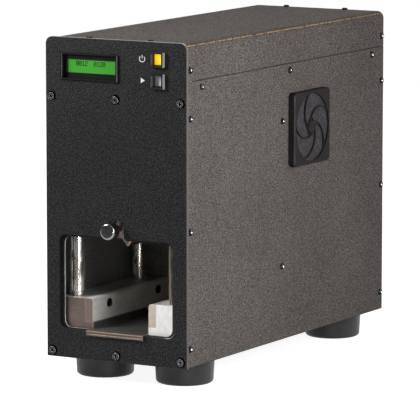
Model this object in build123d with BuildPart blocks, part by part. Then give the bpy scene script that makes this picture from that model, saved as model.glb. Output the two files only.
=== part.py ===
from build123d import *
from math import acos, atan, cos, degrees, pi, radians, sin, sqrt, tan
import os

os.makedirs("parts", exist_ok=True)

# Case: width across, height above the feet, depth from the front panel's face to the rear panel's face
case_width = 180
case_height = 358
case_depth = 466
foot_height = 26.5
sheet = 1.5
cover_inset = 1.2
corner_radius = 8
fit_gap = 0.1
slide_gap = 0.3
running_gap = 0.05

# Front panel, its screws, and the chamber opening with the notch for the knob. The raised door parks above
# the opening and under the header, so the opening takes half of the height between the sill and the header.
# The panel's own opening is wider and higher by the reveal, which shows the frame behind it.
plate_thickness = 4.8
jamb_width = 16.3
opening_reveal = 4.4
opening_reveal_top = 2.4
opening_rise = 32.5
header_height = 118.5
opening_corner = 8
opening_edge = 0.5
frame_sheet = 1.5
frame_band = 5
frame_foot = 1.4
notch_width = 20
notch_rise = 13.4
plate_screw_inset = 7.5
plate_screw_low = 7
plate_screw_drop = 66
plate_edge_break = 0.6

# Display and push buttons
display_inset = 20.8
display_drop = 31.6
display_width = 72.8
display_height = 30
display_proud = 3
display_wall = 1.6
display_flange = 5
display_flange_thickness = 1.5
display_face_depth = 3
window_width = 64.5
window_height = 14.5
window_thickness = 1.2
window_recess = 1
board_gap = 4
board_thickness = 1.6
pillar_radius = 2.5
pillar_inset = 3.2
button_inset = 35.6
button_drops = {"power": 19, "start": 42.7}
bezel_size = 17
bezel_proud = 4.7
bezel_wall = 2
bezel_corner = 1
bezel_body = 14.8
button_body_depth = 24
cap_size = 12.2
cap_face_depth = 2.5
cap_length = 5
cap_travel = 2.5
cap_edge = 0.8
plunger_radius = 2
plunger_length = 6

# Door and knob
door_thickness = 2
door_lap = 2.25
door_overlap = 8.7
door_lift = 2
knob_above_edge = 10.2
knob_radius = 9.35
knob_reach = 19.4
knob_length = 12
knob_dome = 2.5
stem_radius = 4
tail_radius = 3

# Press: base, bars, anvil strips, columns, crown, ram
base_thickness = 30
base_depth = 195
pan_thickness = 2
bar_front = 9.3
bar_length = 180
bar_height = 35
bar_inner = 36.25
bar_wall_gap = 6
strip_thickness = 9.5
strip_height = 26
strip_edge = 3.5
strip_hole_drop = 9.5
strip_hole_first = 36.7
strip_hole_second = 143.3
column_radius = 8
column_inset = 15
column_front = 22.5
column_rear = 155
neck_radius = 6.5
neck_length = 6
stud_radius = 6
stud_into_base = 15
crown_thickness = 25
crown_wall_gap = 9
crown_front = 11
crown_back = 188
tongue_half_width = 50
tongue_back = 285
platen_front = 10.5
platen_back = 167
platen_thickness = 25
platen_lift = 30
platen_corner = 6
bush_wall = 2
bush_proud = 2
wedge_drop = 10.4
wedge_bite = 11.4
wedge_edge = 1
wedge_half_angle = 38
wedge_half_width = 20
wedge_tip_radius = 1.5
wedge_front = 24.4
wedge_length = 140
wedge_screw_spread = 43.5

# Screw drive: a turning nut drives the screw, the gear train runs back to the motor
screw_radius = 14
spigot_radius = 11
spigot_length = 20
nut_gap = 3
nut_radius = 22
nut_flange_radius = 30
nut_flange_thickness = 8
thrust_thickness = 6
gear_lift = 2
gear_face = 14
lock_ring_radius = 28
lock_ring_thickness = 8
gear_module = 2
gear_teeth = 60
idler_teeth = 34
pinion_teeth = 18
pressure_angle = 20
backlash = 0.3
root_clearance = 0.5
idler_shaft_radius = 6
idler_collar_radius = 10
idler_cap_thickness = 3
idler_shaft_depth = 20
motor_shaft_radius = 6
motor_shaft_length = 32
motor_shaft_gap = 1
gearbox_radius = 38
gearbox_length = 45
motor_radius = 33
motor_length = 75
motor_cap_radius = 20
motor_cap_length = 6

# Chamber liner, bulkhead, posts, rails, tray
liner_sheet = 1.5
liner_gap = 3.2
bulkhead_gap = 2
bulkhead_flange = 30
bulkhead_drop = 5
window_side_gap = 12
post_catch = 2
post_depth = 12
post_drop = 18
rail_height = 12
top_rail_height = 8
tray_width = 72
tray_sheet = 1.2
tray_back = 168
tray_side = 8
tray_lip_proud = 4.3
tray_lip_drop = 5
tray_lip_hem = 2.4

# Cover, side panels and rear panel
seam_drop = 42
lap_height = 32
lap_inset = 18
flange_depth = 14
panel_foot_gap = 0.4
seam_gap = 0.5
vent_length = 34
vent_height = 3.5
vent_pitch = 9
vent_rows = 8
vent_rise = 210
vent_inset = 110
rear_vent_drop = 108

# Screws
screw_inset = 5.3
flank_screw_rises = [21, 150.5]
flank_screw_drops = [83, 29.8]
lap_screw_inset = 30.4
lap_screw_drop = 8
bulkhead_screw_rise = 85
bulkhead_screw_drop = 43.5
cover_screw_across = 39.5
plate_head_radius = 3.95
plate_head_length = 5
plate_bore_radius = 5.75
plate_bore_depth = 3.3
plate_shank_radius = 2.4
plate_screw_length = 14
button_head_radius = 3.95
button_head_length = 2.2
button_head_taper = 30
button_shank_radius = 2
button_shank_length = 5
button_key_radius = 1.3
plate_key_radius = 2.1
key_depth = 1.4
anvil_head_radius = 4.5
anvil_head_length = 5
anvil_key_radius = 2.6
anvil_key_depth = 2.5
anvil_bore_radius = 5.75
anvil_bore_depth = 5.5
anvil_shank_radius = 2.5
anvil_shank_length = 12
wedge_head_radius = 6.5
wedge_head_length = 8
wedge_key_radius = 3.4
wedge_key_depth = 4
wedge_shank_radius = 4
wedge_shank_length = 34
column_nut_radius = 11
column_nut_length = 10

# Feet
foot_radius = 33.5
foot_base_radius = 32
foot_edge = 4
foot_inset = 38.3
foot_front = 61.7
foot_rear_inset = 56
foot_recess_radius = 10
foot_recess_depth = 10
foot_head_radius = 7
foot_head_length = 5
foot_shank_radius = 3
foot_shank_length = 22.5

# Fan, its cover and the filter foam
fan_depth = 274.5
fan_drop = 76.6
fan_size = 80
fan_thickness = 25
fan_bore_radius = 38
fan_corner = 4
fan_hub_radius = 17
fan_tip_gap = 1
fan_blades = 7
fan_blade_thickness = 1.6
fan_blade_width = 16
fan_blade_pitch = 35
fan_root = 0.5
fan_strut_width = 4
fan_strut_thickness = 3
fan_pin_radius = 2
fan_pin_length = 8
fan_mount_square = 71.5
fan_mount_radius = 2.2
fan_cover_size = 84.5
fan_cover_proud = 8.6
fan_cover_corner = 5
fan_cover_wall = 2
fan_cover_draft = 1.2
grille_radius = 39
grille_ribs = 5
rib_width = 1.5
rib_curve_radius = 26.5
rib_centre_offset = 20.2
rib_phase = 60
rib_overlap = 20
rib_recess = 0.4
grille_hub_radius = 7
foam_thickness = 6.4
foam_size = 80

# Electrical pieces in the rear half
entry_inset = 46
entry_rise = 60
entry_width = 58
entry_height = 50
entry_flange = 3
entry_body_width = 50
entry_body_height = 40
entry_body_depth = 30
entry_corner = 3
inlet_width = 24
inlet_height = 16.5
inlet_depth = 18
inlet_chamfer = 4
inlet_offset = -10
inlet_pin_pitch = 7
inlet_earth_offset = 2
inlet_pin_width = 2
inlet_pin_height = 3
inlet_pin_length = 14
rocker_offset = 16
rocker_width = 13
rocker_opening = 21.4
rocker_depth_in = 16
rocker_pivot_depth = 9
rocker_face = 7.5
rocker_dip = 5.5
rocker_half_height = 9
rocker_heel = 5
rocker_tilt = 8
rocker_pin_radius = 1.5
rocker_pin_reach = 1
supply_width = 100
supply_height = 45
supply_length = 110
supply_side_gap = 2
supply_standoff = 6
supply_corner = 3
control_front = 232
control_length = 110
control_height = 90
control_rise = 70
control_standoff = 6
control_block_height = 14
control_block_size = (28, 22)
control_block_spread = (55, 45)

# Places that follow from the sizes above. The origin is the middle of the overall box, on the floor.
half_width = case_width / 2 - cover_inset
inner_half_width = half_width - sheet
pan_half_width = inner_half_width - fit_gap
liner_half_width = pan_half_width - liner_gap
crown_half_width = liner_half_width - crown_wall_gap
bar_outer = liner_half_width - bar_wall_gap
column_across = bar_outer - column_inset
plate_screw_across = case_width / 2 - plate_screw_inset
display_across = display_inset + (display_width - case_width) / 2
button_across = case_width / 2 - button_inset
foot_across = case_width / 2 - foot_inset
entry_across = case_width / 2 - entry_inset
reveal_width = case_width - 2 * jamb_width
opening_width = reveal_width - 2 * opening_reveal
door_half_width = opening_width / 2 + door_overlap
post_inner = door_half_width - post_catch
right_reach = half_width + fan_cover_proud
left_reach = half_width + button_head_length
mid_x = (left_reach - right_reach) / 2
overall_depth = knob_reach + case_depth + entry_flange
front_y = knob_reach - overall_depth / 2
case_bottom = foot_height
case_top = case_bottom + case_height
opening_height = (case_height - opening_rise - header_height) / 2
reveal_height = opening_height + opening_reveal_top
cover_top = case_top - cover_inset
inner_top = cover_top - sheet
base_bottom = case_bottom + pan_thickness
base_top = base_bottom + base_thickness
bar_top = base_top + bar_height
strip_bottom = bar_top - strip_height
strip_inner = bar_inner
strip_outer = strip_inner + strip_thickness
opening_bottom = case_bottom + opening_rise
opening_top = opening_bottom + opening_height
wedge_tip = opening_top - wedge_drop
ram_travel = wedge_tip + wedge_bite - bar_top
notch_centre = opening_top + notch_rise
platen_bottom = opening_top + platen_lift
platen_top = platen_bottom + platen_thickness
nut_bottom = platen_top + nut_gap
thrust_bottom = nut_bottom + nut_flange_thickness
crown_bottom = thrust_bottom + thrust_thickness
crown_top = crown_bottom + crown_thickness
gear_bottom = crown_top + gear_lift
gear_top = gear_bottom + gear_face
lock_ring_top = gear_top + lock_ring_thickness
press_mid = (column_front + column_rear) / 2
idler_mid = press_mid + gear_module * (gear_teeth + idler_teeth) / 2
motor_mid = idler_mid + gear_module * (idler_teeth + pinion_teeth) / 2
bar_back = bar_front + bar_length
liner_back = bar_back + slide_gap + liner_sheet
bulkhead_front = liner_back + bulkhead_gap
door_front = plate_thickness + frame_sheet + slide_gap
door_back = door_front + door_thickness
door_bottom = opening_top + door_lift
door_height = opening_height + 2 * door_lap
seam = case_top - seam_drop
lap_bottom = seam - lap_height / 2
lap_back = case_depth - lap_inset
plate_screw_low_z = case_bottom + plate_screw_low
plate_screw_high_z = case_top - plate_screw_drop
bulkhead_top = lap_bottom - bulkhead_drop
base_back = plate_thickness + base_depth
sides = {"left": -1, "right": 1}
column_depths = (column_front, column_rear)
column_places = [(across * column_across, depth) for across in (-1, 1) for depth in column_depths]
foot_depths = (foot_front, case_depth - foot_rear_inset)
foot_places = [(across * foot_across, depth) for across in (-1, 1) for depth in foot_depths]
plate_screws = [
    (across * plate_screw_across, height)
    for across in (-1, 0, 1)
    for height in (plate_screw_low_z, plate_screw_high_z)
]
front_screw_depth = plate_thickness + screw_inset
rear_screw_depth = case_depth - screw_inset
bulkhead_screw_depth = bulkhead_front + bulkhead_flange - screw_inset
lap_screw_front = plate_thickness + lap_screw_inset
lap_screw_rear = case_depth - lap_screw_inset
edge_screw_heights = [case_bottom + rise for rise in flank_screw_rises]
edge_screw_heights += [case_top - drop for drop in flank_screw_drops]
flank_screws = (
    [(depth, height) for depth in (front_screw_depth, rear_screw_depth) for height in edge_screw_heights]
    + [
        (depth, seam - lap_screw_drop)
        for depth in (lap_screw_front, (lap_screw_front + lap_screw_rear) / 2, lap_screw_rear)
    ]
    + [
        (bulkhead_screw_depth, height)
        for height in (case_bottom + bulkhead_screw_rise, bulkhead_top - bulkhead_screw_drop)
    ]
)
cover_screws = [
    (across, depth)
    for across in (-cover_screw_across, cover_screw_across)
    for depth in (front_screw_depth, rear_screw_depth)
]


def front(depth):
    """Plane facing forwards, a depth behind the front panel's face: x across, y up."""
    return Plane(origin=(mid_x, front_y + depth, 0), x_dir=(1, 0, 0), z_dir=(0, -1, 0))


def level(height):
    """Plane facing up at a height: x across, y back from the front panel's face."""
    return Plane(origin=(mid_x, front_y, height))


def side(across):
    """Plane facing right at a distance from the middle: x back, y up."""
    return Plane(origin=(mid_x + across, front_y, 0), x_dir=(0, 1, 0), z_dir=(1, 0, 0))


def drill(plane, places, radius, depth):
    """Cut round holes of one size out of the open part, running from the plane against its facing."""
    with BuildSketch(plane) as holes:
        with Locations(*places):
            Circle(radius)
    extrude(holes.sketch, amount=-depth, mode=Mode.SUBTRACT)


def drill_flank(hand):
    """Cut the holes of one side's panel screws out of the open part."""
    drill(side(hand * half_width), flank_screws, button_shank_radius, hand * button_shank_length)


def cut_notch():
    """Cut the notch for the knob's stem, upwards from the opening, out of the open sketch."""
    with Locations((0, opening_top)):
        Rectangle(notch_width, 2 * notch_rise, mode=Mode.SUBTRACT)
    with Locations((0, notch_centre)):
        Circle(notch_width / 2, mode=Mode.SUBTRACT)


def finish(name, piece):
    """Label a finished piece and write it."""
    piece.part.label = name
    export_step(piece.part, f"parts/{name}.step")


# Front panel
button_places = {name: (button_across, case_top - drop) for name, drop in button_drops.items()}

with BuildPart() as front_panel:
    with BuildSketch(front(0)) as panel_outline:
        with Locations((0, case_bottom + case_height / 2)):
            Rectangle(case_width, case_height)
        fillet(panel_outline.vertices().group_by(Axis.Y)[-1], corner_radius)
        with Locations((0, opening_bottom + reveal_height / 2)):
            RectangleRounded(reveal_width, reveal_height, opening_corner, mode=Mode.SUBTRACT)
        cut_notch()
        with Locations((display_across, case_top - display_drop)):
            Rectangle(display_width, display_height, mode=Mode.SUBTRACT)
        with Locations(*button_places.values()):
            Rectangle(bezel_body + 2 * fit_gap, bezel_body + 2 * fit_gap, mode=Mode.SUBTRACT)
    extrude(amount=-plate_thickness)
    front_face = front_panel.faces().sort_by(Axis.Y)[0]
    chamfer(front_face.outer_wire().edges(), plate_edge_break)
    front_face = front_panel.faces().sort_by(Axis.Y)[0]
    chamfer(front_face.inner_wires().sort_by(SortBy.LENGTH)[-1].edges(), opening_edge)
    drill(front(0), plate_screws, plate_bore_radius, plate_bore_depth)
    drill(front(0), plate_screws, plate_shank_radius + fit_gap, plate_thickness)
finish("front_panel", front_panel)


def socket_screws(seat, places, head, shank, key, toward=1, taper=0):
    """Socket screws on a seat plane: head, shank and key are each a radius and a length."""
    with BuildPart() as screws:
        with BuildSketch(seat):
            with Locations(*places):
                Circle(head[0])
        extrude(amount=toward * head[1], taper=taper)
        with BuildSketch(seat.offset(toward * head[1])):
            with Locations(*places):
                RegularPolygon(key[0], 6)
        extrude(amount=-toward * key[1], mode=Mode.SUBTRACT)
        with BuildSketch(seat):
            with Locations(*places):
                Circle(shank[0])
        extrude(amount=-toward * shank[1])
    return screws


front_panel_screws = socket_screws(
    front(plate_bore_depth),
    plate_screws,
    (plate_head_radius, plate_head_length),
    (plate_shank_radius, plate_screw_length),
    (plate_key_radius, key_depth),
)
finish("front_panel_screws", front_panel_screws)


# Display: frame with a raised rim, module with a window, and the board on four pillars
display_centre = (display_across, case_top - display_drop)
flange_width = display_width + 2 * display_flange
flange_height = display_height + 2 * display_flange
rim_width = display_width - 2 * fit_gap
rim_height = display_height - 2 * fit_gap
well_width = rim_width - 2 * display_wall
well_height = rim_height - 2 * display_wall
flange_back = plate_thickness + display_flange_thickness
board_front = flange_back + board_gap
pillar_spread_x = flange_width - 2 * pillar_inset
pillar_spread_y = flange_height - 2 * pillar_inset

with BuildPart() as display_frame:
    with BuildSketch(front(-display_proud)):
        with Locations(display_centre):
            Rectangle(rim_width, rim_height)
            Rectangle(well_width, well_height, mode=Mode.SUBTRACT)
    extrude(amount=-(display_proud + flange_back))
    with BuildSketch(front(plate_thickness)):
        with Locations(display_centre):
            Rectangle(flange_width, flange_height)
            Rectangle(well_width, well_height, mode=Mode.SUBTRACT)
    extrude(amount=-display_flange_thickness)
    with BuildSketch(front(flange_back)):
        with Locations(display_centre):
            with GridLocations(pillar_spread_x, pillar_spread_y, 2, 2):
                Circle(pillar_radius)
    extrude(amount=-board_gap)
finish("display_frame", display_frame)

with BuildPart() as display_module:
    with BuildSketch(front(display_face_depth)):
        with Locations(display_centre):
            Rectangle(well_width - 2 * fit_gap, well_height - 2 * fit_gap)
    extrude(amount=-(board_front - display_face_depth))
    with BuildSketch(front(display_face_depth)):
        with Locations(display_centre):
            Rectangle(window_width, window_height)
    extrude(amount=-(window_recess + window_thickness), mode=Mode.SUBTRACT)
finish("display_module", display_module)

with BuildPart() as display_window:
    with BuildSketch(front(display_face_depth + window_recess)):
        with Locations(display_centre):
            Rectangle(window_width, window_height)
    extrude(amount=-window_thickness)
finish("display_window", display_window)

with BuildPart() as display_board:
    with BuildSketch(front(board_front)):
        with Locations(display_centre):
            Rectangle(flange_width, flange_height)
    extrude(amount=-board_thickness)
finish("display_board", display_board)


# Push buttons: a guarded housing with a well, and a cap on a plunger
well_size = bezel_size - 2 * bezel_wall
cap_back = cap_face_depth + cap_length
well_back = cap_back + cap_travel + slide_gap
plunger_back = cap_back + plunger_length
for name, place in button_places.items():
    with BuildPart() as button_housing:
        with BuildSketch(front(-bezel_proud)):
            with Locations(place):
                RectangleRounded(bezel_size, bezel_size, bezel_corner)
        extrude(amount=-bezel_proud)
        with BuildSketch(front(0)):
            with Locations(place):
                Rectangle(bezel_body, bezel_body)
        extrude(amount=-button_body_depth)
        with BuildSketch(front(-bezel_proud)):
            with Locations(place):
                Rectangle(well_size, well_size)
        extrude(amount=-(bezel_proud + well_back), mode=Mode.SUBTRACT)
        bore_length = plunger_back + cap_travel + slide_gap - well_back
        drill(front(well_back), [place], plunger_radius + running_gap, bore_length)
    finish(f"{name}_button_housing", button_housing)

    with BuildPart() as button_cap:
        with BuildSketch(front(cap_face_depth)):
            with Locations(place):
                Rectangle(cap_size, cap_size)
        extrude(amount=-cap_length)
        chamfer(button_cap.faces().sort_by(Axis.Y)[0].edges(), cap_edge)
        with BuildSketch(front(cap_back)):
            with Locations(place):
                Circle(plunger_radius)
        extrude(amount=-plunger_length)
    finish(f"{name}_button_cap", button_cap)


# Sliding door with its knob
knob_height = door_bottom + knob_above_edge
with BuildPart() as door_panel:
    with BuildSketch(front(door_front)):
        with Locations((0, door_bottom + door_height / 2)):
            Rectangle(2 * door_half_width, door_height)
        with Locations((0, knob_height)):
            Circle(tail_radius, mode=Mode.SUBTRACT)
    extrude(amount=-door_thickness)
finish("door_panel", door_panel)

with BuildPart() as door_knob:
    with BuildSketch(front(-knob_reach)):
        with Locations((0, knob_height)):
            Circle(knob_radius)
    extrude(amount=-knob_length)
    fillet(door_knob.edges().sort_by(Axis.Y)[0], knob_dome)
    with BuildSketch(front(knob_length - knob_reach)):
        with Locations((0, knob_height)):
            Circle(stem_radius)
    extrude(amount=-(knob_reach - knob_length + door_front))
    with BuildSketch(front(door_front)):
        with Locations((0, knob_height)):
            Circle(tail_radius)
    extrude(amount=-door_thickness)
finish("door_knob", door_knob)


# Opening frame: a ring between the panel and the door, open at the sill where the tray passes
frame_half_width = door_half_width + slide_gap - fit_gap
frame_bottom = base_top + fit_gap
frame_top = notch_centre + notch_width / 2 + frame_band
mouth_bottom = frame_bottom + frame_foot
with BuildPart() as opening_frame:
    with BuildSketch(front(plate_thickness)):
        with Locations((0, (frame_bottom + frame_top) / 2)):
            Rectangle(2 * frame_half_width, frame_top - frame_bottom)
        with Locations((0, (mouth_bottom + opening_top) / 2)):
            RectangleRounded(opening_width, opening_top - mouth_bottom, opening_corner, mode=Mode.SUBTRACT)
        cut_notch()
        with Locations((0, frame_bottom + opening_corner / 2)):
            Rectangle(tray_width + 2 * frame_foot, opening_corner, mode=Mode.SUBTRACT)
    extrude(amount=-frame_sheet)
finish("opening_frame", opening_frame)


# Front posts guide the door in a rebate and take the screws of the side panels and the cover
post_bottom = bar_top
post_top = case_top - post_drop
post_outer = pan_half_width
rebate_back = door_back + slide_gap
rebate_outer = door_half_width + slide_gap
for name, hand in sides.items():
    with BuildPart() as front_post:
        with BuildSketch(level(post_bottom)):
            with BuildLine():
                Polyline(
                    (hand * rebate_outer, plate_thickness),
                    (hand * post_outer, plate_thickness),
                    (hand * post_outer, plate_thickness + post_depth),
                    (hand * post_inner, plate_thickness + post_depth),
                    (hand * post_inner, rebate_back),
                    (hand * rebate_outer, rebate_back),
                    close=True,
                )
            make_face()
        extrude(amount=post_top - post_bottom)
        high_screw = (hand * plate_screw_across, plate_screw_high_z)
        drill(front(plate_bore_depth), [high_screw], plate_shank_radius, plate_screw_length)
        drill_flank(hand)
    finish(f"{name}_front_post", front_post)

# Cross rails between the posts: one takes the middle panel screw, the other the cover's front edge
with BuildPart() as middle_cross_rail:
    with BuildSketch(front(plate_thickness)):
        with Locations((0, plate_screw_high_z)):
            Rectangle(2 * post_inner - 2 * fit_gap, rail_height)
            Circle(plate_shank_radius, mode=Mode.SUBTRACT)
    extrude(amount=-post_depth)
finish("middle_cross_rail", middle_cross_rail)

with BuildPart() as top_cross_rail:
    with BuildSketch(side(-post_outer + corner_radius)):
        with Locations((plate_thickness + post_depth / 2, inner_top - fit_gap - top_rail_height / 2)):
            Rectangle(post_depth, top_rail_height)
    extrude(amount=2 * (post_outer - corner_radius))
    drill(level(cover_top), cover_screws, button_shank_radius, button_shank_length)
finish("top_cross_rail", top_cross_rail)


# Base pan with upturned sides behind the press base
pan_back = case_depth - sheet - fit_gap
pan_side_back = case_depth - flange_depth - fit_gap
pan_side_height = 20
pan_length = pan_back - plate_thickness
with BuildPart() as base_pan:
    with BuildSketch(level(case_bottom)):
        with Locations((0, plate_thickness + pan_length / 2)):
            Rectangle(2 * pan_half_width, pan_length)
    extrude(amount=pan_thickness)
    with BuildSketch(level(base_bottom)):
        for hand in sides.values():
            with Locations((hand * (pan_half_width - pan_thickness / 2), (base_back + pan_side_back) / 2)):
                Rectangle(pan_thickness, pan_side_back - base_back - fit_gap)
    extrude(amount=pan_side_height)
    drill(level(base_bottom), foot_places, foot_shank_radius, pan_thickness)
finish("base_pan", base_pan)

# Feet, each with a recess for its screw
with BuildPart() as foot_screws:
    with BuildSketch(level(foot_recess_depth)):
        with Locations(*foot_places):
            Circle(foot_head_radius)
            RegularPolygon(foot_shank_radius, 6, mode=Mode.SUBTRACT)
    extrude(amount=-foot_head_length)
    with BuildSketch(level(foot_recess_depth)):
        with Locations(*foot_places):
            Circle(foot_shank_radius)
    extrude(amount=foot_shank_length)
finish("foot_screws", foot_screws)

with BuildPart() as feet:
    for place in foot_places:
        with BuildSketch(level(0)):
            with Locations(place):
                Circle(foot_base_radius)
        with BuildSketch(level(foot_height)):
            with Locations(place):
                Circle(foot_radius)
        loft()
    fillet(feet.edges().group_by(Axis.Z)[0], foot_edge)
    drill(level(foot_recess_depth), foot_places, foot_recess_radius, foot_recess_depth)
    drill(level(foot_height), foot_places, foot_shank_radius, foot_height)
finish("feet", feet)


# Press base
stud_bottom = base_top - stud_into_base
foot_screw_top = foot_recess_depth + foot_shank_length
with BuildPart() as press_base:
    with BuildSketch(level(base_bottom)):
        with Locations((0, plate_thickness + base_depth / 2)):
            Rectangle(2 * pan_half_width, base_depth)
    extrude(amount=base_thickness)
    drill(level(base_top), column_places, stud_radius, stud_into_base)
    drill(level(foot_screw_top), foot_places, foot_shank_radius, foot_screw_top - base_bottom)
    drill(front(plate_bore_depth), plate_screws, plate_shank_radius, plate_screw_length)
    for hand in sides.values():
        drill_flank(hand)
finish("press_base", press_base)


# Support bars with the hardened anvil strips in their rebates
strip_hole_height = bar_top - strip_hole_drop
strip_holes = [
    (bar_front + strip_hole_first, strip_hole_height),
    (bar_front + strip_hole_second, strip_hole_height),
]
anvil_screw_pairs = []
for name, hand in sides.items():
    anvil_seat = side(hand * (strip_inner + anvil_bore_depth))
    with BuildPart() as support_bar:
        with BuildSketch(front(bar_front)):
            with BuildLine():
                Polyline(
                    (hand * bar_inner, base_top),
                    (hand * bar_outer, base_top),
                    (hand * bar_outer, bar_top),
                    (hand * strip_outer, bar_top),
                    (hand * strip_outer, strip_bottom),
                    (hand * bar_inner, strip_bottom),
                    close=True,
                )
            make_face()
        extrude(amount=-bar_length)
        drill(level(bar_top), column_places, stud_radius, bar_height)
        drill(anvil_seat, strip_holes, anvil_shank_radius, -hand * anvil_shank_length)
    finish(f"{name}_support_bar", support_bar)

    with BuildPart() as anvil_strip:
        with BuildSketch(front(bar_front)) as strip_profile:
            with Locations((hand * (strip_inner + strip_thickness / 2), strip_bottom + strip_height / 2)):
                Rectangle(strip_thickness, strip_height)
            top_corners = strip_profile.vertices().group_by(Axis.Y)[-1].sort_by(Axis.X)
            fillet(top_corners[0 if hand > 0 else -1], strip_edge)
        extrude(amount=-bar_length)
        drill(anvil_seat, strip_holes, anvil_bore_radius, hand * anvil_bore_depth)
        drill(anvil_seat, strip_holes, anvil_shank_radius, -hand * anvil_shank_length)
    finish(f"{name}_anvil_strip", anvil_strip)

    side_screws = socket_screws(
        anvil_seat,
        strip_holes,
        (anvil_head_radius, anvil_head_length),
        (anvil_shank_radius, anvil_shank_length),
        (anvil_key_radius, anvil_key_depth),
        toward=-hand,
    )
    anvil_screw_pairs.append(side_screws.part)

with BuildPart() as anvil_screws:
    add(anvil_screw_pairs)
finish("anvil_screws", anvil_screws)


# Guide columns: a stud at each end, a short neck where the column meets the bar
neck_top = bar_top + neck_length
nut_top = crown_top + column_nut_length
with BuildPart() as guide_columns:
    for radius, bottom, top in (
        (stud_radius, stud_bottom, nut_top),
        (neck_radius, bar_top, neck_top),
        (column_radius, neck_top, crown_bottom),
    ):
        with BuildSketch(level(bottom)):
            with Locations(*column_places):
                Circle(radius)
        extrude(amount=top - bottom)
finish("guide_columns", guide_columns)

with BuildPart() as column_nuts:
    with BuildSketch(level(crown_top)):
        with Locations(*column_places):
            RegularPolygon(column_nut_radius, 6)
            Circle(stud_radius, mode=Mode.SUBTRACT)
    extrude(amount=column_nut_length)
finish("column_nuts", column_nuts)


# Crown plate with a narrower tongue that carries the idler and the motor
idler_shaft_bottom = crown_top - idler_shaft_depth
with BuildPart() as crown_plate:
    with BuildSketch(level(crown_bottom)):
        with Locations((0, (crown_front + crown_back) / 2)):
            Rectangle(2 * crown_half_width, crown_back - crown_front)
        with Locations((0, (crown_front + tongue_back) / 2)):
            Rectangle(2 * tongue_half_width, tongue_back - crown_front)
        with Locations(*column_places):
            Circle(stud_radius, mode=Mode.SUBTRACT)
        with Locations((0, press_mid)):
            Circle(nut_radius + running_gap, mode=Mode.SUBTRACT)
        with Locations((0, motor_mid)):
            Circle(motor_shaft_radius + motor_shaft_gap, mode=Mode.SUBTRACT)
    extrude(amount=crown_thickness)
    drill(level(crown_top), [(0, idler_mid)], idler_shaft_radius, idler_shaft_depth)
finish("crown_plate", crown_plate)


# Ram: platen on four bushes, wedge under it, lead screw standing in it
wedge_screw_places = [(0, press_mid - wedge_screw_spread), (0, press_mid + wedge_screw_spread)]
wedge_head_seat = platen_top - wedge_head_length
bush_radius = column_radius + bush_wall
with BuildPart() as ram_platen:
    with BuildSketch(level(platen_bottom)):
        with Locations((0, (platen_front + platen_back) / 2)):
            RectangleRounded(2 * crown_half_width, platen_back - platen_front, platen_corner)
        with Locations(*column_places):
            Circle(bush_radius, mode=Mode.SUBTRACT)
        with Locations(*wedge_screw_places):
            Circle(wedge_shank_radius, mode=Mode.SUBTRACT)
    extrude(amount=platen_thickness)
    drill(level(platen_top), [(0, press_mid)], spigot_radius, spigot_length)
    drill(level(platen_top), wedge_screw_places, wedge_head_radius, wedge_head_length)
finish("ram_platen", ram_platen)

with BuildPart() as platen_bushes:
    with BuildSketch(level(platen_bottom - bush_proud)):
        with Locations(*column_places):
            Circle(bush_radius)
            Circle(column_radius + running_gap, mode=Mode.SUBTRACT)
    extrude(amount=platen_thickness + 2 * bush_proud)
finish("platen_bushes", platen_bushes)

wedge_shoulder = wedge_tip + wedge_half_width / tan(radians(wedge_half_angle))
with BuildPart() as ram_wedge:
    with BuildSketch(front(wedge_front)) as wedge_profile:
        with BuildLine():
            Polyline(
                (0, wedge_tip),
                (wedge_half_width, wedge_shoulder),
                (wedge_half_width, platen_bottom),
                (-wedge_half_width, platen_bottom),
                (-wedge_half_width, wedge_shoulder),
                close=True,
            )
        make_face()
        fillet(wedge_profile.vertices().sort_by(Axis.Y)[0], wedge_tip_radius)
    extrude(amount=-wedge_length)
    end_faces = ram_wedge.faces().filter_by(Axis.Y)
    chamfer(end_faces.sort_by(Axis.Y)[0].edges(), wedge_edge)
    drill(level(wedge_head_seat), wedge_screw_places, wedge_shank_radius, wedge_shank_length)
finish("ram_wedge", ram_wedge)

wedge_screws = socket_screws(
    level(wedge_head_seat),
    wedge_screw_places,
    (wedge_head_radius, wedge_head_length),
    (wedge_shank_radius, wedge_shank_length),
    (wedge_key_radius, wedge_key_depth),
)
finish("wedge_screws", wedge_screws)

screw_top = lock_ring_top + ram_travel
with BuildPart() as lead_screw:
    with BuildSketch(level(platen_top - spigot_length)):
        with Locations((0, press_mid)):
            Circle(spigot_radius)
    extrude(amount=spigot_length)
    with BuildSketch(level(platen_top)):
        with Locations((0, press_mid)):
            Circle(screw_radius)
    extrude(amount=screw_top - platen_top)
    chamfer(lead_screw.edges().sort_by(Axis.Z)[-1], sheet)
finish("lead_screw", lead_screw)


# Turning nut with its thrust bearing, drive gear and lock ring
with BuildPart() as lead_nut:
    with BuildSketch(level(nut_bottom)):
        with Locations((0, press_mid)):
            Circle(nut_flange_radius)
    extrude(amount=nut_flange_thickness)
    with BuildSketch(level(thrust_bottom)):
        with Locations((0, press_mid)):
            Circle(nut_radius)
    extrude(amount=lock_ring_top - thrust_bottom)
    drill(level(lock_ring_top), [(0, press_mid)], screw_radius + running_gap, lock_ring_top - nut_bottom)
finish("lead_nut", lead_nut)

with BuildPart() as thrust_bearing:
    with BuildSketch(level(thrust_bottom)):
        with Locations((0, press_mid)):
            Circle(nut_flange_radius)
            Circle(nut_radius, mode=Mode.SUBTRACT)
    extrude(amount=thrust_thickness - fit_gap)
finish("thrust_bearing", thrust_bearing)

with BuildPart() as lock_ring:
    with BuildSketch(level(gear_top)):
        with Locations((0, press_mid)):
            Circle(lock_ring_radius)
            Circle(nut_radius, mode=Mode.SUBTRACT)
    extrude(amount=lock_ring_thickness)
finish("lock_ring", lock_ring)


def involute(base_radius, radius):
    """Angle, in radians, that the involute has turned through at a radius."""
    roll = sqrt((radius / base_radius) ** 2 - 1)
    return roll - atan(roll)


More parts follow.
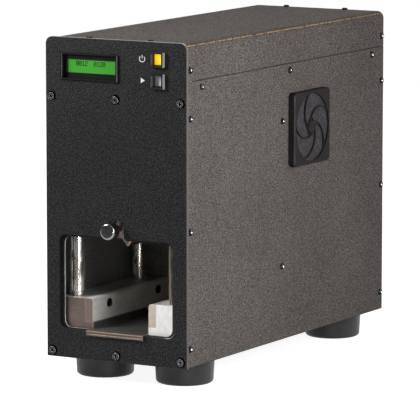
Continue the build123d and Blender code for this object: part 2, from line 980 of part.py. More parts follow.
def gear_outline(teeth, first_angle):
    """Outline of an involute gear, thinned for backlash, with one tooth pointing at the first angle."""
    pitch_radius = gear_module * teeth / 2
    base_radius = pitch_radius * cos(radians(pressure_angle))
    tip_radius = pitch_radius + gear_module
    root_radius = pitch_radius - gear_module - root_clearance
    half_tooth = pi / (2 * teeth) - backlash / (4 * pitch_radius)
    turned = involute(base_radius, pitch_radius)
    foot = max(base_radius, root_radius)
    flank = [
        (radius, half_tooth + turned - involute(base_radius, radius))
        for radius in (foot, pitch_radius, tip_radius)
    ]
    flank.insert(0, (root_radius, flank[0][1]))
    tooth = [(radius, -half) for radius, half in flank] + [(radius, half) for radius, half in reversed(flank)]
    points = []
    for number in range(teeth):
        middle = radians(first_angle) + number * 2 * pi / teeth
        points += [(radius * cos(middle + turn), radius * sin(middle + turn)) for radius, turn in tooth]
    return points


def spur_gear(teeth, first_angle):
    """Face of a spur gear about the current location."""
    Polygon(*gear_outline(teeth, first_angle), align=(Align.NONE, Align.NONE))


# Drive gear on the nut, in mesh with the idler behind it
backward = 90
forward = 270
idler_turn = forward + 180 / idler_teeth
idler_rear_phase = (backward - idler_turn) * idler_teeth / 360
pinion_turn = forward + (0.5 + idler_rear_phase) * 360 / pinion_teeth
with BuildPart() as drive_gear:
    with BuildSketch(level(gear_bottom)):
        with Locations((0, press_mid)):
            spur_gear(gear_teeth, backward)
            Circle(nut_radius, mode=Mode.SUBTRACT)
    extrude(amount=gear_face)
    with BuildSketch(level(crown_top + fit_gap)):
        with Locations((0, press_mid)):
            Circle(lock_ring_radius)
            Circle(nut_radius, mode=Mode.SUBTRACT)
    extrude(amount=gear_lift - fit_gap)
finish("drive_gear", drive_gear)

with BuildPart() as idler_gear:
    with BuildSketch(level(gear_bottom)):
        with Locations((0, idler_mid)):
            spur_gear(idler_teeth, idler_turn)
            Circle(idler_shaft_radius + running_gap, mode=Mode.SUBTRACT)
    extrude(amount=gear_face)
finish("idler_gear", idler_gear)

with BuildPart() as idler_shaft:
    with BuildSketch(level(idler_shaft_bottom)):
        with Locations((0, idler_mid)):
            Circle(idler_shaft_radius)
    extrude(amount=gear_top + fit_gap + idler_cap_thickness - idler_shaft_bottom)
    with BuildSketch(level(crown_top)):
        with Locations((0, idler_mid)):
            Circle(idler_collar_radius)
    extrude(amount=gear_lift - fit_gap)
    with BuildSketch(level(gear_top + fit_gap)):
        with Locations((0, idler_mid)):
            Circle(idler_collar_radius)
    extrude(amount=idler_cap_thickness)
finish("idler_shaft", idler_shaft)

with BuildPart() as motor_pinion:
    with BuildSketch(level(gear_bottom)):
        with Locations((0, motor_mid)):
            spur_gear(pinion_teeth, pinion_turn)
    extrude(amount=gear_face)
    with BuildSketch(level(crown_bottom - motor_shaft_length)):
        with Locations((0, motor_mid)):
            Circle(motor_shaft_radius)
    extrude(amount=gear_bottom - crown_bottom + motor_shaft_length)
finish("motor_pinion", motor_pinion)

with BuildPart() as gear_motor:
    with BuildSketch(level(crown_bottom)):
        with Locations((0, motor_mid)):
            Circle(gearbox_radius)
    extrude(amount=-gearbox_length)
    with BuildSketch(level(crown_bottom - gearbox_length)):
        with Locations((0, motor_mid)):
            Circle(motor_radius)
    extrude(amount=-motor_length)
    with BuildSketch(level(crown_bottom - gearbox_length - motor_length)):
        with Locations((0, motor_mid)):
            Circle(motor_cap_radius)
    extrude(amount=-motor_cap_length)
    motor_bore_length = motor_shaft_length + fit_gap
    drill(level(crown_bottom), [(0, motor_mid)], motor_shaft_radius + running_gap, motor_bore_length)
finish("gear_motor", gear_motor)


# Chamber liner: two side walls and a back wall around the press
liner_front = plate_thickness + post_depth
liner_length = liner_back - liner_front
with BuildPart() as chamber_liner:
    with BuildSketch(level(base_top)):
        with Locations((0, liner_front + liner_length / 2)):
            Rectangle(2 * liner_half_width, liner_length)
        with Locations((0, liner_front + (liner_length - liner_sheet) / 2)):
            Rectangle(2 * (liner_half_width - liner_sheet), liner_length - liner_sheet, mode=Mode.SUBTRACT)
    extrude(amount=crown_bottom - base_top)
finish("chamber_liner", chamber_liner)

# Bulkhead behind the liner, with a window for the crown's tongue and flanges for the side panels
bulkhead_height = bulkhead_top - base_top
tongue_window_bottom = crown_bottom - slide_gap
tongue_window_height = lock_ring_top - tongue_window_bottom
with BuildPart() as bulkhead:
    with BuildSketch(front(bulkhead_front)):
        with Locations((0, base_top + bulkhead_height / 2)):
            Rectangle(2 * pan_half_width, bulkhead_height)
        with Locations((0, tongue_window_bottom + tongue_window_height / 2)):
            Rectangle(2 * (tongue_half_width + window_side_gap), tongue_window_height, mode=Mode.SUBTRACT)
    extrude(amount=-sheet)
    with BuildSketch(level(base_top)):
        for hand in sides.values():
            with Locations((hand * (pan_half_width - sheet / 2), bulkhead_front + bulkhead_flange / 2)):
                Rectangle(sheet, bulkhead_flange)
    extrude(amount=bulkhead_height)
    for hand in sides.values():
        drill_flank(hand)
finish("bulkhead", bulkhead)


# Scrap tray: floor between the bars, low sides, and a lip of two rolled folds over the sill
tray_bottom = opening_bottom
lip_top = tray_bottom + tray_sheet
lip_bottom = tray_bottom - tray_lip_drop
lip_back = tray_lip_hem - tray_lip_proud
fold_radius = (lip_top - lip_bottom) / 4
fold_depth = fold_radius - tray_lip_proud
with BuildPart() as scrap_tray:
    with BuildSketch(side(-tray_width / 2)):
        with BuildLine():
            Polyline(
                (fold_depth, lip_top),
                (tray_back, lip_top),
                (tray_back, tray_bottom),
                (lip_back, tray_bottom),
                (lip_back, lip_bottom),
                (fold_depth, lip_bottom),
            )
            for fold in (lip_bottom, lip_bottom + 2 * fold_radius):
                ThreePointArc(
                    (fold_depth, fold),
                    (-tray_lip_proud, fold + fold_radius),
                    (fold_depth, fold + 2 * fold_radius),
                )
        make_face()
    extrude(amount=tray_width)
    with BuildSketch(level(tray_bottom)):
        for hand in sides.values():
            with Locations((hand * (tray_width - tray_sheet) / 2, (bar_front + tray_back) / 2)):
                Rectangle(tray_sheet, tray_back - bar_front)
    extrude(amount=tray_side)
finish("scrap_tray", scrap_tray)


# Top cover: a channel with rounded bends and a lap strip inside each side
cover_length = case_depth - plate_thickness
with BuildPart() as top_cover:
    with BuildSketch(front(plate_thickness)) as cover_profile:
        with Locations((0, (seam + cover_top) / 2)):
            Rectangle(2 * half_width, cover_top - seam)
        fillet(cover_profile.vertices().group_by(Axis.Y)[-1], corner_radius)
    extrude(amount=-cover_length)
    with BuildSketch(front(plate_thickness)) as cover_inside:
        with Locations((0, (seam + inner_top) / 2)):
            Rectangle(2 * inner_half_width, inner_top - seam)
        fillet(cover_inside.vertices().group_by(Axis.Y)[-1], corner_radius - sheet)
    extrude(amount=-cover_length, mode=Mode.SUBTRACT)
    with BuildSketch(front(lap_inset)):
        for hand in sides.values():
            with Locations((hand * (inner_half_width - sheet / 2), seam)):
                Rectangle(sheet, lap_height)
    extrude(amount=-(lap_back - lap_inset))
    for hand in sides.values():
        drill_flank(hand)
    drill(level(cover_top), cover_screws, button_shank_radius, button_shank_length)
finish("top_cover", top_cover)

# Side panels, the right one with a hole for the fan and the left one with vent slots
panel_bottom = case_bottom + panel_foot_gap
panel_top = seam - seam_gap
fan_centre = (fan_depth, seam - fan_drop)
for name, hand in sides.items():
    with BuildPart() as side_panel:
        with BuildSketch(side(hand * inner_half_width)):
            with Locations((plate_thickness + cover_length / 2, (panel_bottom + panel_top) / 2)):
                Rectangle(cover_length, panel_top - panel_bottom)
            if name == "right":
                with Locations(fan_centre):
                    Circle(fan_bore_radius, mode=Mode.SUBTRACT)
            else:
                with Locations((case_depth - vent_inset, case_bottom + vent_rise)):
                    with GridLocations(vent_length + vent_pitch, vent_pitch, 2, vent_rows):
                        SlotOverall(vent_length, vent_height, mode=Mode.SUBTRACT)
        extrude(amount=hand * sheet)
        drill_flank(hand)
    finish(f"{name}_side_panel", side_panel)

# Rear panel: a shallow tray whose flanges take the screws of the panels and the cover
entry_centre = (entry_across, case_bottom + entry_rise)
rear_half_width = pan_half_width
rear_top = inner_top - fit_gap
rear_height = rear_top - base_bottom
with BuildPart() as rear_panel:
    with BuildSketch(front(case_depth)) as rear_outline:
        with Locations((0, base_bottom + rear_height / 2)):
            Rectangle(2 * rear_half_width, rear_height)
        fillet(rear_outline.vertices().group_by(Axis.Y)[-1], corner_radius - sheet)
    extrude(amount=flange_depth)
    with BuildSketch(front(case_depth - sheet)) as rear_inside:
        with Locations((0, base_bottom + rear_height / 2)):
            Rectangle(2 * (rear_half_width - sheet), rear_height - 2 * sheet)
        fillet(rear_inside.vertices().group_by(Axis.Y)[-1], corner_radius - 2 * sheet)
    extrude(amount=flange_depth - sheet, mode=Mode.SUBTRACT)
    with BuildSketch(front(case_depth)):
        with Locations(entry_centre):
            Rectangle(entry_body_width + 2 * fit_gap, entry_body_height + 2 * fit_gap)
        with Locations((0, case_top - rear_vent_drop)):
            with GridLocations(vent_length + vent_pitch, vent_pitch, 3, vent_rows):
                SlotOverall(vent_length, vent_height)
    extrude(amount=sheet, mode=Mode.SUBTRACT)
    for hand in sides.values():
        drill_flank(hand)
    drill(level(cover_top), cover_screws, button_shank_radius, button_shank_length)
finish("rear_panel", rear_panel)

# Button-head screws of the side panels and the top cover
middle = Plane(origin=(mid_x, 0, 0), x_dir=(0, 1, 0), z_dir=(1, 0, 0))
button_head = (button_head_radius, button_head_length)
button_shank = (button_shank_radius, button_shank_length)
button_key = (button_key_radius, key_depth)
right_screws = socket_screws(
    side(half_width), flank_screws, button_head, button_shank, button_key, taper=button_head_taper
)
top_screws = socket_screws(
    level(cover_top), cover_screws, button_head, button_shank, button_key, taper=button_head_taper
)
with BuildPart() as button_head_screws:
    add(right_screws.part)
    mirror(right_screws.part, about=middle)
    add(top_screws.part)
finish("button_head_screws", button_head_screws)


# Fan: square frame with a spoked hub, and a rotor on its pin
fan_outer = inner_half_width
fan_inner = fan_outer - fan_thickness
strut_angles = [45, 135]
with BuildPart() as fan_frame:
    with BuildSketch(side(fan_inner)):
        with Locations(fan_centre):
            RectangleRounded(fan_size, fan_size, fan_corner)
            Circle(fan_bore_radius, mode=Mode.SUBTRACT)
    extrude(amount=fan_thickness)
    with BuildSketch(side(fan_inner)):
        with Locations(fan_centre):
            Circle(fan_hub_radius)
            for angle in strut_angles:
                Rectangle(2 * (fan_bore_radius + fan_root), fan_strut_width, rotation=angle)
    extrude(amount=fan_strut_thickness)
    with BuildSketch(side(fan_inner + fan_strut_thickness)):
        with Locations(fan_centre):
            Circle(fan_pin_radius)
    extrude(amount=fan_pin_length)
    with BuildSketch(side(fan_outer)):
        with Locations(fan_centre):
            with GridLocations(fan_mount_square, fan_mount_square, 2, 2):
                Circle(fan_mount_radius)
    extrude(amount=-fan_thickness, mode=Mode.SUBTRACT)
finish("fan_frame", fan_frame)

hub_inner = fan_inner + fan_strut_thickness + slide_gap
hub_outer = fan_outer - slide_gap
blade_centre = Vector(mid_x + (hub_inner + hub_outer) / 2, front_y + fan_centre[0], fan_centre[1])
tip_radius = fan_bore_radius - fan_tip_gap
blade_length = tip_radius - fan_hub_radius + 2 * fan_root
with BuildPart() as fan_rotor:
    for number in range(fan_blades):
        turn = 2 * pi * number / fan_blades
        along = Vector(0, cos(turn), sin(turn))
        around = Vector(0, -sin(turn), cos(turn))
        lean = radians(fan_blade_pitch)
        facing = Vector(cos(lean), 0, 0) + around * sin(lean)
        with BuildSketch(Plane(origin=blade_centre, x_dir=along, z_dir=facing)):
            with Locations((tip_radius - blade_length / 2, 0)):
                Rectangle(blade_length, fan_blade_width)
        extrude(amount=fan_blade_thickness / 2, both=True)
    with BuildSketch(side(hub_inner)):
        with Locations(fan_centre):
            Circle(tip_radius)
    extrude(amount=hub_outer - hub_inner, mode=Mode.INTERSECT)
    with BuildSketch(side(hub_inner)):
        with Locations(fan_centre):
            Circle(fan_hub_radius)
    extrude(amount=hub_outer - hub_inner)
    pin_bore = fan_pin_length - slide_gap + fit_gap
    drill(side(hub_inner), [fan_centre], fan_pin_radius + running_gap, -pin_bore)
finish("fan_rotor", fan_rotor)


# Filter cover: a hollow square cap whose round opening is crossed by swirling ribs
cover_face_inner = half_width + fan_cover_proud - fan_cover_wall
rib_sweep_cosine = (rib_centre_offset**2 + rib_curve_radius**2 - grille_radius**2) / (
    2 * rib_centre_offset * rib_curve_radius
)
rib_sweep = rib_overlap + degrees(acos(rib_sweep_cosine))
with BuildPart() as fan_cover:
    with BuildSketch(side(half_width)):
        with Locations(fan_centre):
            RectangleRounded(fan_cover_size, fan_cover_size, fan_cover_corner)
    extrude(amount=fan_cover_proud)
    chamfer(fan_cover.faces().sort_by(Axis.X)[-1].edges(), fan_cover_draft)
    with BuildSketch(side(half_width)):
        with Locations(fan_centre):
            Rectangle(fan_cover_size - 2 * fan_cover_wall, fan_cover_size - 2 * fan_cover_wall)
    extrude(amount=fan_cover_proud - fan_cover_wall, mode=Mode.SUBTRACT)
    drill(side(cover_face_inner), [fan_centre], grille_radius, -fan_cover_wall)
    with BuildSketch(side(cover_face_inner)):
        with Locations(fan_centre):
            Circle(grille_hub_radius)
        for number in range(grille_ribs):
            turn = rib_phase + 360 * number / grille_ribs
            arc_centre = (
                fan_centre[0] + rib_centre_offset * cos(radians(turn)),
                fan_centre[1] + rib_centre_offset * sin(radians(turn)),
            )
            with BuildLine():
                CenterArc(arc_centre, rib_curve_radius, turn + 180 + rib_overlap, -rib_sweep)
            trace(line_width=rib_width)
    extrude(amount=fan_cover_wall - rib_recess)
finish("fan_cover", fan_cover)

with BuildPart() as filter_foam:
    with BuildSketch(side(half_width)):
        with Locations(fan_centre):
            Rectangle(foam_size, foam_size)
    extrude(amount=foam_thickness)
finish("filter_foam", filter_foam)


# Power entry: flanged housing with the mains inlet and an opening for the rocker
entry_face = case_depth + entry_flange
inlet_centre = (entry_across + inlet_offset, case_bottom + entry_rise)
rocker_centre = (entry_across + rocker_offset, case_bottom + entry_rise)
rocker_pivot = (entry_face - rocker_pivot_depth, case_bottom + entry_rise)
rocker_pin_length = rocker_width + 2 * rocker_pin_reach
with BuildPart() as power_entry:
    with BuildSketch(front(entry_face)):
        with Locations(entry_centre):
            RectangleRounded(entry_width, entry_height, entry_corner)
    extrude(amount=entry_flange)
    with BuildSketch(front(case_depth)):
        with Locations(entry_centre):
            Rectangle(entry_body_width, entry_body_height)
    extrude(amount=entry_body_depth)
    with BuildSketch(front(entry_face)) as inlet_well:
        with Locations(inlet_centre):
            Rectangle(inlet_width, inlet_height)
        chamfer(inlet_well.vertices().group_by(Axis.Y)[-1], inlet_chamfer)
    extrude(amount=inlet_depth, mode=Mode.SUBTRACT)
    with BuildSketch(front(entry_face)):
        with Locations(rocker_centre):
            Rectangle(rocker_width + 2 * slide_gap, rocker_opening)
    extrude(amount=rocker_depth_in, mode=Mode.SUBTRACT)
    with BuildSketch(side(rocker_centre[0] - rocker_pin_length / 2 - fit_gap)):
        with Locations(rocker_pivot):
            Circle(rocker_pin_radius + running_gap)
    extrude(amount=rocker_pin_length + 2 * fit_gap, mode=Mode.SUBTRACT)
    with BuildSketch(front(entry_face - inlet_depth)):
        with Locations(inlet_centre):
            with Locations(
                (-inlet_pin_pitch, -inlet_earth_offset),
                (0, inlet_earth_offset),
                (inlet_pin_pitch, -inlet_earth_offset),
            ):
                Rectangle(inlet_pin_width, inlet_pin_height)
    extrude(amount=-inlet_pin_length)
finish("power_entry", power_entry)

with BuildPart() as power_rocker:
    with BuildSketch(side(rocker_centre[0] - rocker_width / 2)):
        with Locations(rocker_pivot):
            Polygon(
                (rocker_face, rocker_half_height),
                (rocker_dip, 0),
                (rocker_face, -rocker_half_height),
                (0, -rocker_half_height),
                (-rocker_heel, -rocker_heel),
                (-rocker_heel, rocker_heel),
                (0, rocker_half_height),
                rotation=rocker_tilt,
                align=(Align.NONE, Align.NONE),
            )
    extrude(amount=rocker_width)
    with BuildSketch(side(rocker_centre[0] - rocker_pin_length / 2)):
        with Locations(rocker_pivot):
            Circle(rocker_pin_radius)
    extrude(amount=rocker_pin_length)
finish("power_rocker", power_rocker)


# Power supply on standoffs on the pan, and the control board on standoffs inside the left panel
standoff_spread = 2 * pillar_inset
supply_centre = (
    pan_thickness + supply_side_gap + supply_width / 2 - pan_half_width,
    (base_back + case_depth) / 2,
)
with BuildPart() as power_supply:
    with BuildSketch(level(base_bottom)):
        with Locations(supply_centre):
            with GridLocations(supply_width - standoff_spread, supply_length - standoff_spread, 2, 2):
                Circle(pillar_radius)
    extrude(amount=supply_standoff)
    with BuildSketch(level(base_bottom + supply_standoff)):
        with Locations(supply_centre):
            RectangleRounded(supply_width, supply_length, supply_corner)
    extrude(amount=supply_height)
finish("power_supply", power_supply)

control_centre = (control_front + control_length / 2, case_bottom + control_rise + control_height / 2)
with BuildPart() as control_board:
    with BuildSketch(side(-inner_half_width)):
        with Locations(control_centre):
            with GridLocations(control_length - standoff_spread, control_height - standoff_spread, 2, 2):
                Circle(pillar_radius)
    extrude(amount=control_standoff)
    with BuildSketch(side(control_standoff - inner_half_width)):
        with Locations(control_centre):
            Rectangle(control_length, control_height)
    extrude(amount=board_thickness)
    with BuildSketch(side(control_standoff + board_thickness - inner_half_width)):
        with Locations(control_centre):
            with GridLocations(*control_block_spread, 2, 2):
                Rectangle(*control_block_size)
    extrude(amount=control_block_height)
finish("control_board", control_board)
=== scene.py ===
"""Finishes, fine detail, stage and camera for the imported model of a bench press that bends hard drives."""

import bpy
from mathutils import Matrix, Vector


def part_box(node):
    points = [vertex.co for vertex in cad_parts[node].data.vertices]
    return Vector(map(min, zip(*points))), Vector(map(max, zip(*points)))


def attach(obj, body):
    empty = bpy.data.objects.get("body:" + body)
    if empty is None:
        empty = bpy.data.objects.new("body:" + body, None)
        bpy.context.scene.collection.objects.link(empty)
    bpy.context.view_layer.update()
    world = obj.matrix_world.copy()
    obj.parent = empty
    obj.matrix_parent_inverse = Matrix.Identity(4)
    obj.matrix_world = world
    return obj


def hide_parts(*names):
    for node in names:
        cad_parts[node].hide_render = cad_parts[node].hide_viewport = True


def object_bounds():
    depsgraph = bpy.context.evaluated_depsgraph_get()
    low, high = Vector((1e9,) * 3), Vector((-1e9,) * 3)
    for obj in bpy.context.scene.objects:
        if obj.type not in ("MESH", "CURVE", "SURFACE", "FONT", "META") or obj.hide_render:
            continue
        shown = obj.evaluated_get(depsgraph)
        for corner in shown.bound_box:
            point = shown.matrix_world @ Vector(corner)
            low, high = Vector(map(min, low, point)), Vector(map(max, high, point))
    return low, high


bl_info = {
    "name": "Drive Crusher Looks",
    "version": (1, 0, 0),
    "blender": (4, 5, 0),
    "location": "View3D > Sidebar > Crusher",
    "description": "Finishes, fine detail, stage and camera for a bench press that bends hard drives",
    "category": "Object",
}

from math import ceil, cos, pi, radians, sin

import bmesh
import bpy
from mathutils import Matrix, Vector, noise

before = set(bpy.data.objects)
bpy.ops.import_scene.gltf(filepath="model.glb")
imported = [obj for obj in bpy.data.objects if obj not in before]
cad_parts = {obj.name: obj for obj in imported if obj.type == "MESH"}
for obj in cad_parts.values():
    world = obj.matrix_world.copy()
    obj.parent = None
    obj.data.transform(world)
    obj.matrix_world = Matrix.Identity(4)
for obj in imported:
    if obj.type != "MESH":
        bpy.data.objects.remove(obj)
cad_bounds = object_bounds()

seed_offset = Vector((3.7, 1.9, 8.3))

# Kinds of socket, and what the groups for whole surfaces put out
value, colour, vector = "NodeSocketFloat", "NodeSocketColor", "NodeSocketVector"
surface_outputs = {"Colour": colour, "Roughness": value, "Height": value}

# Ways to stretch a grain: into streaks along one axis, or not at all
along_width, along_depth, along_height, evenly = (0.03, 1, 1), (1, 0.03, 1), (1, 1, 0.03), (1, 1, 1)

# Paint thickness and the like, as the distance of a bump
fine_coat, rough_coat, brushing, moulding = 0.00006, 0.00012, 0.00002, 0.00003


def feed(tree, node, inputs):
    """Give a node's inputs values, or sockets to link from, by name or number. Colours come without alpha."""
    for name, given in inputs.items():
        socket = node.inputs[name]
        if isinstance(given, bpy.types.NodeSocket):
            tree.links.new(given, socket)
        elif socket.type == "RGBA":
            socket.default_value = (*given, 1)
        else:
            socket.default_value = given


def add_node(tree, kind, inputs=None, **settings):
    """Add a node."""
    made = tree.nodes.new(kind)
    for name, setting in settings.items():
        setattr(made, name, setting)
    feed(tree, made, inputs or {})
    return made


def ramp(tree, level, low, high, start=0.0, end=1.0):
    """Stretch a value from the range low to high onto start to end, clamped."""
    inputs = {"Value": level, "From Min": low, "From Max": high, "To Min": start, "To Max": end}
    return add_node(tree, "ShaderNodeMapRange", inputs).outputs["Result"]


def mix_colour(tree, factor, first, second, blend="MIX"):
    """Mix two colours."""
    inputs = {0: factor, 6: first, 7: second}
    return add_node(tree, "ShaderNodeMix", inputs, data_type="RGBA", blend_type=blend).outputs[2]


def mix_value(tree, factor, first, second):
    """Mix two values."""
    return add_node(tree, "ShaderNodeMix", {0: factor, 2: first, 3: second}, data_type="FLOAT").outputs[0]


def arithmetic(tree, operation, first, *others):
    """Combine values in turn, or change a single one."""
    for other in others or (0.0,):
        first = add_node(tree, "ShaderNodeMath", {0: first, 1: other}, operation=operation).outputs[0]
    return first


def vector_math(tree, operation, first, second=(0, 0, 0), output="Vector"):
    """Combine two vectors, or change a single one."""
    return add_node(tree, "ShaderNodeVectorMath", {0: first, 1: second}, operation=operation).outputs[output]


def object_place(tree, stretch=None):
    """Object coordinates, stretched along each axis where a stretch is given."""
    place = add_node(tree, "ShaderNodeTexCoord").outputs["Object"]
    return place if stretch is None else vector_math(tree, "MULTIPLY", place, stretch)


def object_axes(tree):
    """X, Y and Z of the object coordinates."""
    return add_node(tree, "ShaderNodeSeparateXYZ", {0: object_place(tree)}).outputs


def wall_axes(tree):
    """X, Y and Z of the way that a wall faces."""
    normal = add_node(tree, "ShaderNodeNewGeometry").outputs["Normal"]
    return add_node(tree, "ShaderNodeSeparateXYZ", {0: normal}).outputs


def grain(tree, place, scale, detail=2.0, roughness=0.5):
    """Noise about 0.5 at a scale in features per metre."""
    inputs = {"Vector": place, "Scale": scale, "Detail": detail, "Roughness": roughness}
    return add_node(tree, "ShaderNodeTexNoise", inputs).outputs["Fac"]


def shaded(tree, tone, level):
    """A colour, darker or lighter by a value."""
    grey = add_node(tree, "ShaderNodeCombineColor", {0: level, 1: level, 2: level}).outputs[0]
    return mix_colour(tree, 1.0, tone, grey, "MULTIPLY")


def relief(tree, height, distance, **normal):
    """The normal, bent by a height."""
    inputs = {"Strength": 1.0, "Distance": distance, "Height": height, **normal}
    return add_node(tree, "ShaderNodeBump", inputs).outputs[0]


def effect_group(name, inputs, outputs):
    """Start a shader node group. Returns its tree, its input sockets and its output node."""
    tree = bpy.data.node_groups.new(name, "ShaderNodeTree")
    for label, (kind, default) in inputs.items():
        socket = tree.interface.new_socket(label, in_out="INPUT", socket_type=kind)
        socket.default_value = (*default, 1) if kind == colour else default
    for label, kind in outputs.items():
        tree.interface.new_socket(label, in_out="OUTPUT", socket_type=kind)
    return tree, tree.nodes.new("NodeGroupInput").outputs, tree.nodes.new("NodeGroupOutput")


def powder_coat_group():
    """Sprayed and baked coat: specks, slow mottling and the orange-peel surface."""
    tree, given, out = effect_group("Powder Coat", {
        "Colour": (colour, (0.1, 0.1, 0.1)),
        "Speck Colour": (colour, (0.2, 0.2, 0.2)),
        "Pit Colour": (colour, (0.01, 0.01, 0.01)),
        "Scale": (value, 900.0),
        "Specks": (value, 0.5),
        "Roughness": (value, 0.5),
    }, surface_outputs)
    place = object_place(tree)
    fine = grain(tree, place, given["Scale"], detail=3.0, roughness=0.7)
    broad = grain(tree, place, 9.0, detail=3.0)
    speck = arithmetic(tree, "MULTIPLY", ramp(tree, fine, 0.48, 0.62), given["Specks"])
    pit = arithmetic(tree, "MULTIPLY", ramp(tree, fine, 0.5, 0.36), given["Specks"])
    speckled = mix_colour(tree, speck, given["Colour"], given["Speck Colour"])
    pitted = mix_colour(tree, pit, speckled, given["Pit Colour"])
    feed(tree, out, {
        "Colour": shaded(tree, pitted, ramp(tree, broad, 0.3, 0.7, 0.9, 1.1)),
        "Roughness": arithmetic(tree, "ADD", given["Roughness"], ramp(tree, fine, 0.3, 0.7, -0.06, 0.06)),
        "Height": fine,
    })
    return tree


def brushed_group():
    """Brushed or ground metal: fine streaks along one axis over slow tarnish."""
    tree, given, out = effect_group("Brushed Metal", {
        "Colour": (colour, (0.6, 0.6, 0.6)),
        "Tarnish": (colour, (0.4, 0.35, 0.3)),
        "Stretch": (vector, along_depth),
        "Scale": (value, 2500.0),
        "Tarnish Amount": (value, 0.4),
        "Roughness": (value, 0.3),
    }, surface_outputs)
    streak = grain(tree, object_place(tree, given["Stretch"]), given["Scale"])
    slow = grain(tree, object_place(tree), 45.0, detail=4.0, roughness=0.6)
    wear_and_sheen = arithmetic(tree, "MULTIPLY", ramp(tree, slow, 0.35, 0.65), given["Tarnish Amount"])
    tarnished = mix_colour(tree, wear_and_sheen, given["Colour"], given["Tarnish"])
    feed(tree, out, {
        "Colour": shaded(tree, tarnished, ramp(tree, streak, 0.3, 0.7, 0.82, 1.12)),
        "Roughness": arithmetic(tree, "ADD", given["Roughness"], ramp(tree, streak, 0.3, 0.7, -0.08, 0.1),
                                ramp(tree, slow, 0.3, 0.7, -0.04, 0.08)),
        "Height": streak,
    })
    return tree


def moulded_group():
    """Moulded plastic or rubber: a fine even grain with faint flow marks."""
    tree, given, out = effect_group("Moulded Surface", {
        "Colour": (colour, (0.03, 0.03, 0.03)),
        "Bloom": (colour, (0.08, 0.08, 0.08)),
        "Scale": (value, 1500.0),
        "Roughness": (value, 0.5),
    }, surface_outputs)
    flow = grain(tree, object_place(tree, (1, 1, 3)), 30.0, detail=3.0)
    bloom = arithmetic(tree, "MULTIPLY", ramp(tree, flow, 0.4, 0.75), 0.5)
    feed(tree, out, {
        "Colour": mix_colour(tree, bloom, given["Colour"], given["Bloom"]),
        "Roughness": arithmetic(tree, "ADD", given["Roughness"], ramp(tree, flow, 0.3, 0.7, -0.08, 0.08)),
        "Height": grain(tree, object_place(tree), given["Scale"]),
    })
    return tree


def front_reflection_group():
    """Satin metal with a painted reflection, a dark warm tone, on the faces that look to the front and on all
    that lies before a depth.
    """
    tree, given, out = effect_group("Front Reflection Metal", {
        "Colour": (colour, (0.5, 0.5, 0.5)),
        "Tarnish": (colour, (0.35, 0.35, 0.35)),
        "Stain": (colour, (0.2, 0.15, 0.1)),
        "Stain Tarnish": (colour, (0.12, 0.09, 0.06)),
        "Stained Depth": (value, 0.0),
    }, {"Colour": colour, "Roughness": value})
    # The Stain, Stain Tarnish and Stained Depth inputs carry a painted reflection, not a stain
    turned = ramp(tree, wall_axes(tree)["Y"], -0.5, -0.8)
    past = arithmetic(tree, "ADD", given["Stained Depth"], 0.0005)
    near = ramp(tree, object_axes(tree)["Y"], past, given["Stained Depth"])
    clean = group_node(tree, "Brushed Metal", Colour=given["Colour"], Tarnish=given["Tarnish"],
                       Stretch=along_depth, Tarnish_Amount=0.4, Roughness=0.4)
    painted_reflection = group_node(tree, "Brushed Metal", Colour=given["Stain"], Tarnish=given["Stain Tarnish"],
                         Stretch=along_width, Tarnish_Amount=0.7, Roughness=0.4)
    dark = arithmetic(tree, "MAXIMUM", turned, near)
    feed(tree, out, {
        "Colour": mix_colour(tree, dark, clean["Colour"], painted_reflection["Colour"]),
        "Roughness": clean["Roughness"],
    })
    return tree


def glow_group():
    """Lit plastic, brightest over its lamp."""
    tree, given, out = effect_group("Lamp Glow", {
        "Centre": (vector, (0, 0, 0)),
        "Radius": (value, 0.01),
        "Inner": (colour, (1, 1, 1)),
        "Outer": (colour, (0.5, 0.5, 0.5)),
    }, {"Colour": colour})
    place = object_place(tree)
    away = vector_math(tree, "LENGTH", vector_math(tree, "SUBTRACT", place, given["Centre"]), output="Value")
    ripple = ramp(tree, grain(tree, place, 500.0), 0.3, 0.7, -0.06, 0.06)
    near = arithmetic(tree, "ADD", ramp(tree, away, 0.0, given["Radius"], 1.0, 0.0), ripple)
    feed(tree, out, {"Colour": mix_colour(tree, near, given["Outer"], given["Inner"])})
    return tree


def edge_group():
    """Rounded edges: a normal that turns smoothly over them, and a mask that marks them."""
    tree, given, out = effect_group("Rounded Edge", {"Radius": (value, 0.0006)},
                                    {"Normal": vector, "Edge": value})
    bevel = add_node(tree, "ShaderNodeBevel", {"Radius": given["Radius"]}, samples=6).outputs[0]
    flat = add_node(tree, "ShaderNodeNewGeometry").outputs["Normal"]
    feed(tree, out, {
        "Normal": bevel,
        "Edge": ramp(tree, vector_math(tree, "DOT_PRODUCT", bevel, flat, "Value"), 0.99, 0.8),
    })
    return tree


def wall_group():
    """Masks of the walls that face left or right, and of those that stand square to the front."""
    tree, _, out = effect_group("Wall Masks", {}, {"Across": value, "Sideways": value})
    way = wall_axes(tree)
    feed(tree, out, {
        "Across": ramp(tree, arithmetic(tree, "ABSOLUTE", way["X"]), 0.7, 0.85),
        "Sideways": ramp(tree, arithmetic(tree, "ABSOLUTE", way["Y"]), 0.6, 0.4),
    })
    return tree


group_builders = {
    "Powder Coat": powder_coat_group,
    "Brushed Metal": brushed_group,
    "Moulded Surface": moulded_group,
    "Front Reflection Metal": front_reflection_group,
    "Lamp Glow": glow_group,
    "Rounded Edge": edge_group,
    "Wall Masks": wall_group,
}


def group_node(tree, name, **inputs):
    """Place a shared effect, with the values of this material."""
    shared = bpy.data.node_groups.get(name) or group_builders[name]()
    labelled = {name.replace("_", " "): given for name, given in inputs.items()}
    return add_node(tree, "ShaderNodeGroup", labelled, node_tree=shared).outputs


def new_material(name):
    """A material with an empty tree, its Principled shader and its output."""
    material = bpy.data.materials.new(name)
    material.use_nodes = True
    tree = material.node_tree
    tree.nodes.clear()
    shader = tree.nodes.new("ShaderNodeBsdfPrincipled")
    tree.links.new(shader.outputs[0], tree.nodes.new("ShaderNodeOutputMaterial").inputs[0])
    return material, tree, shader


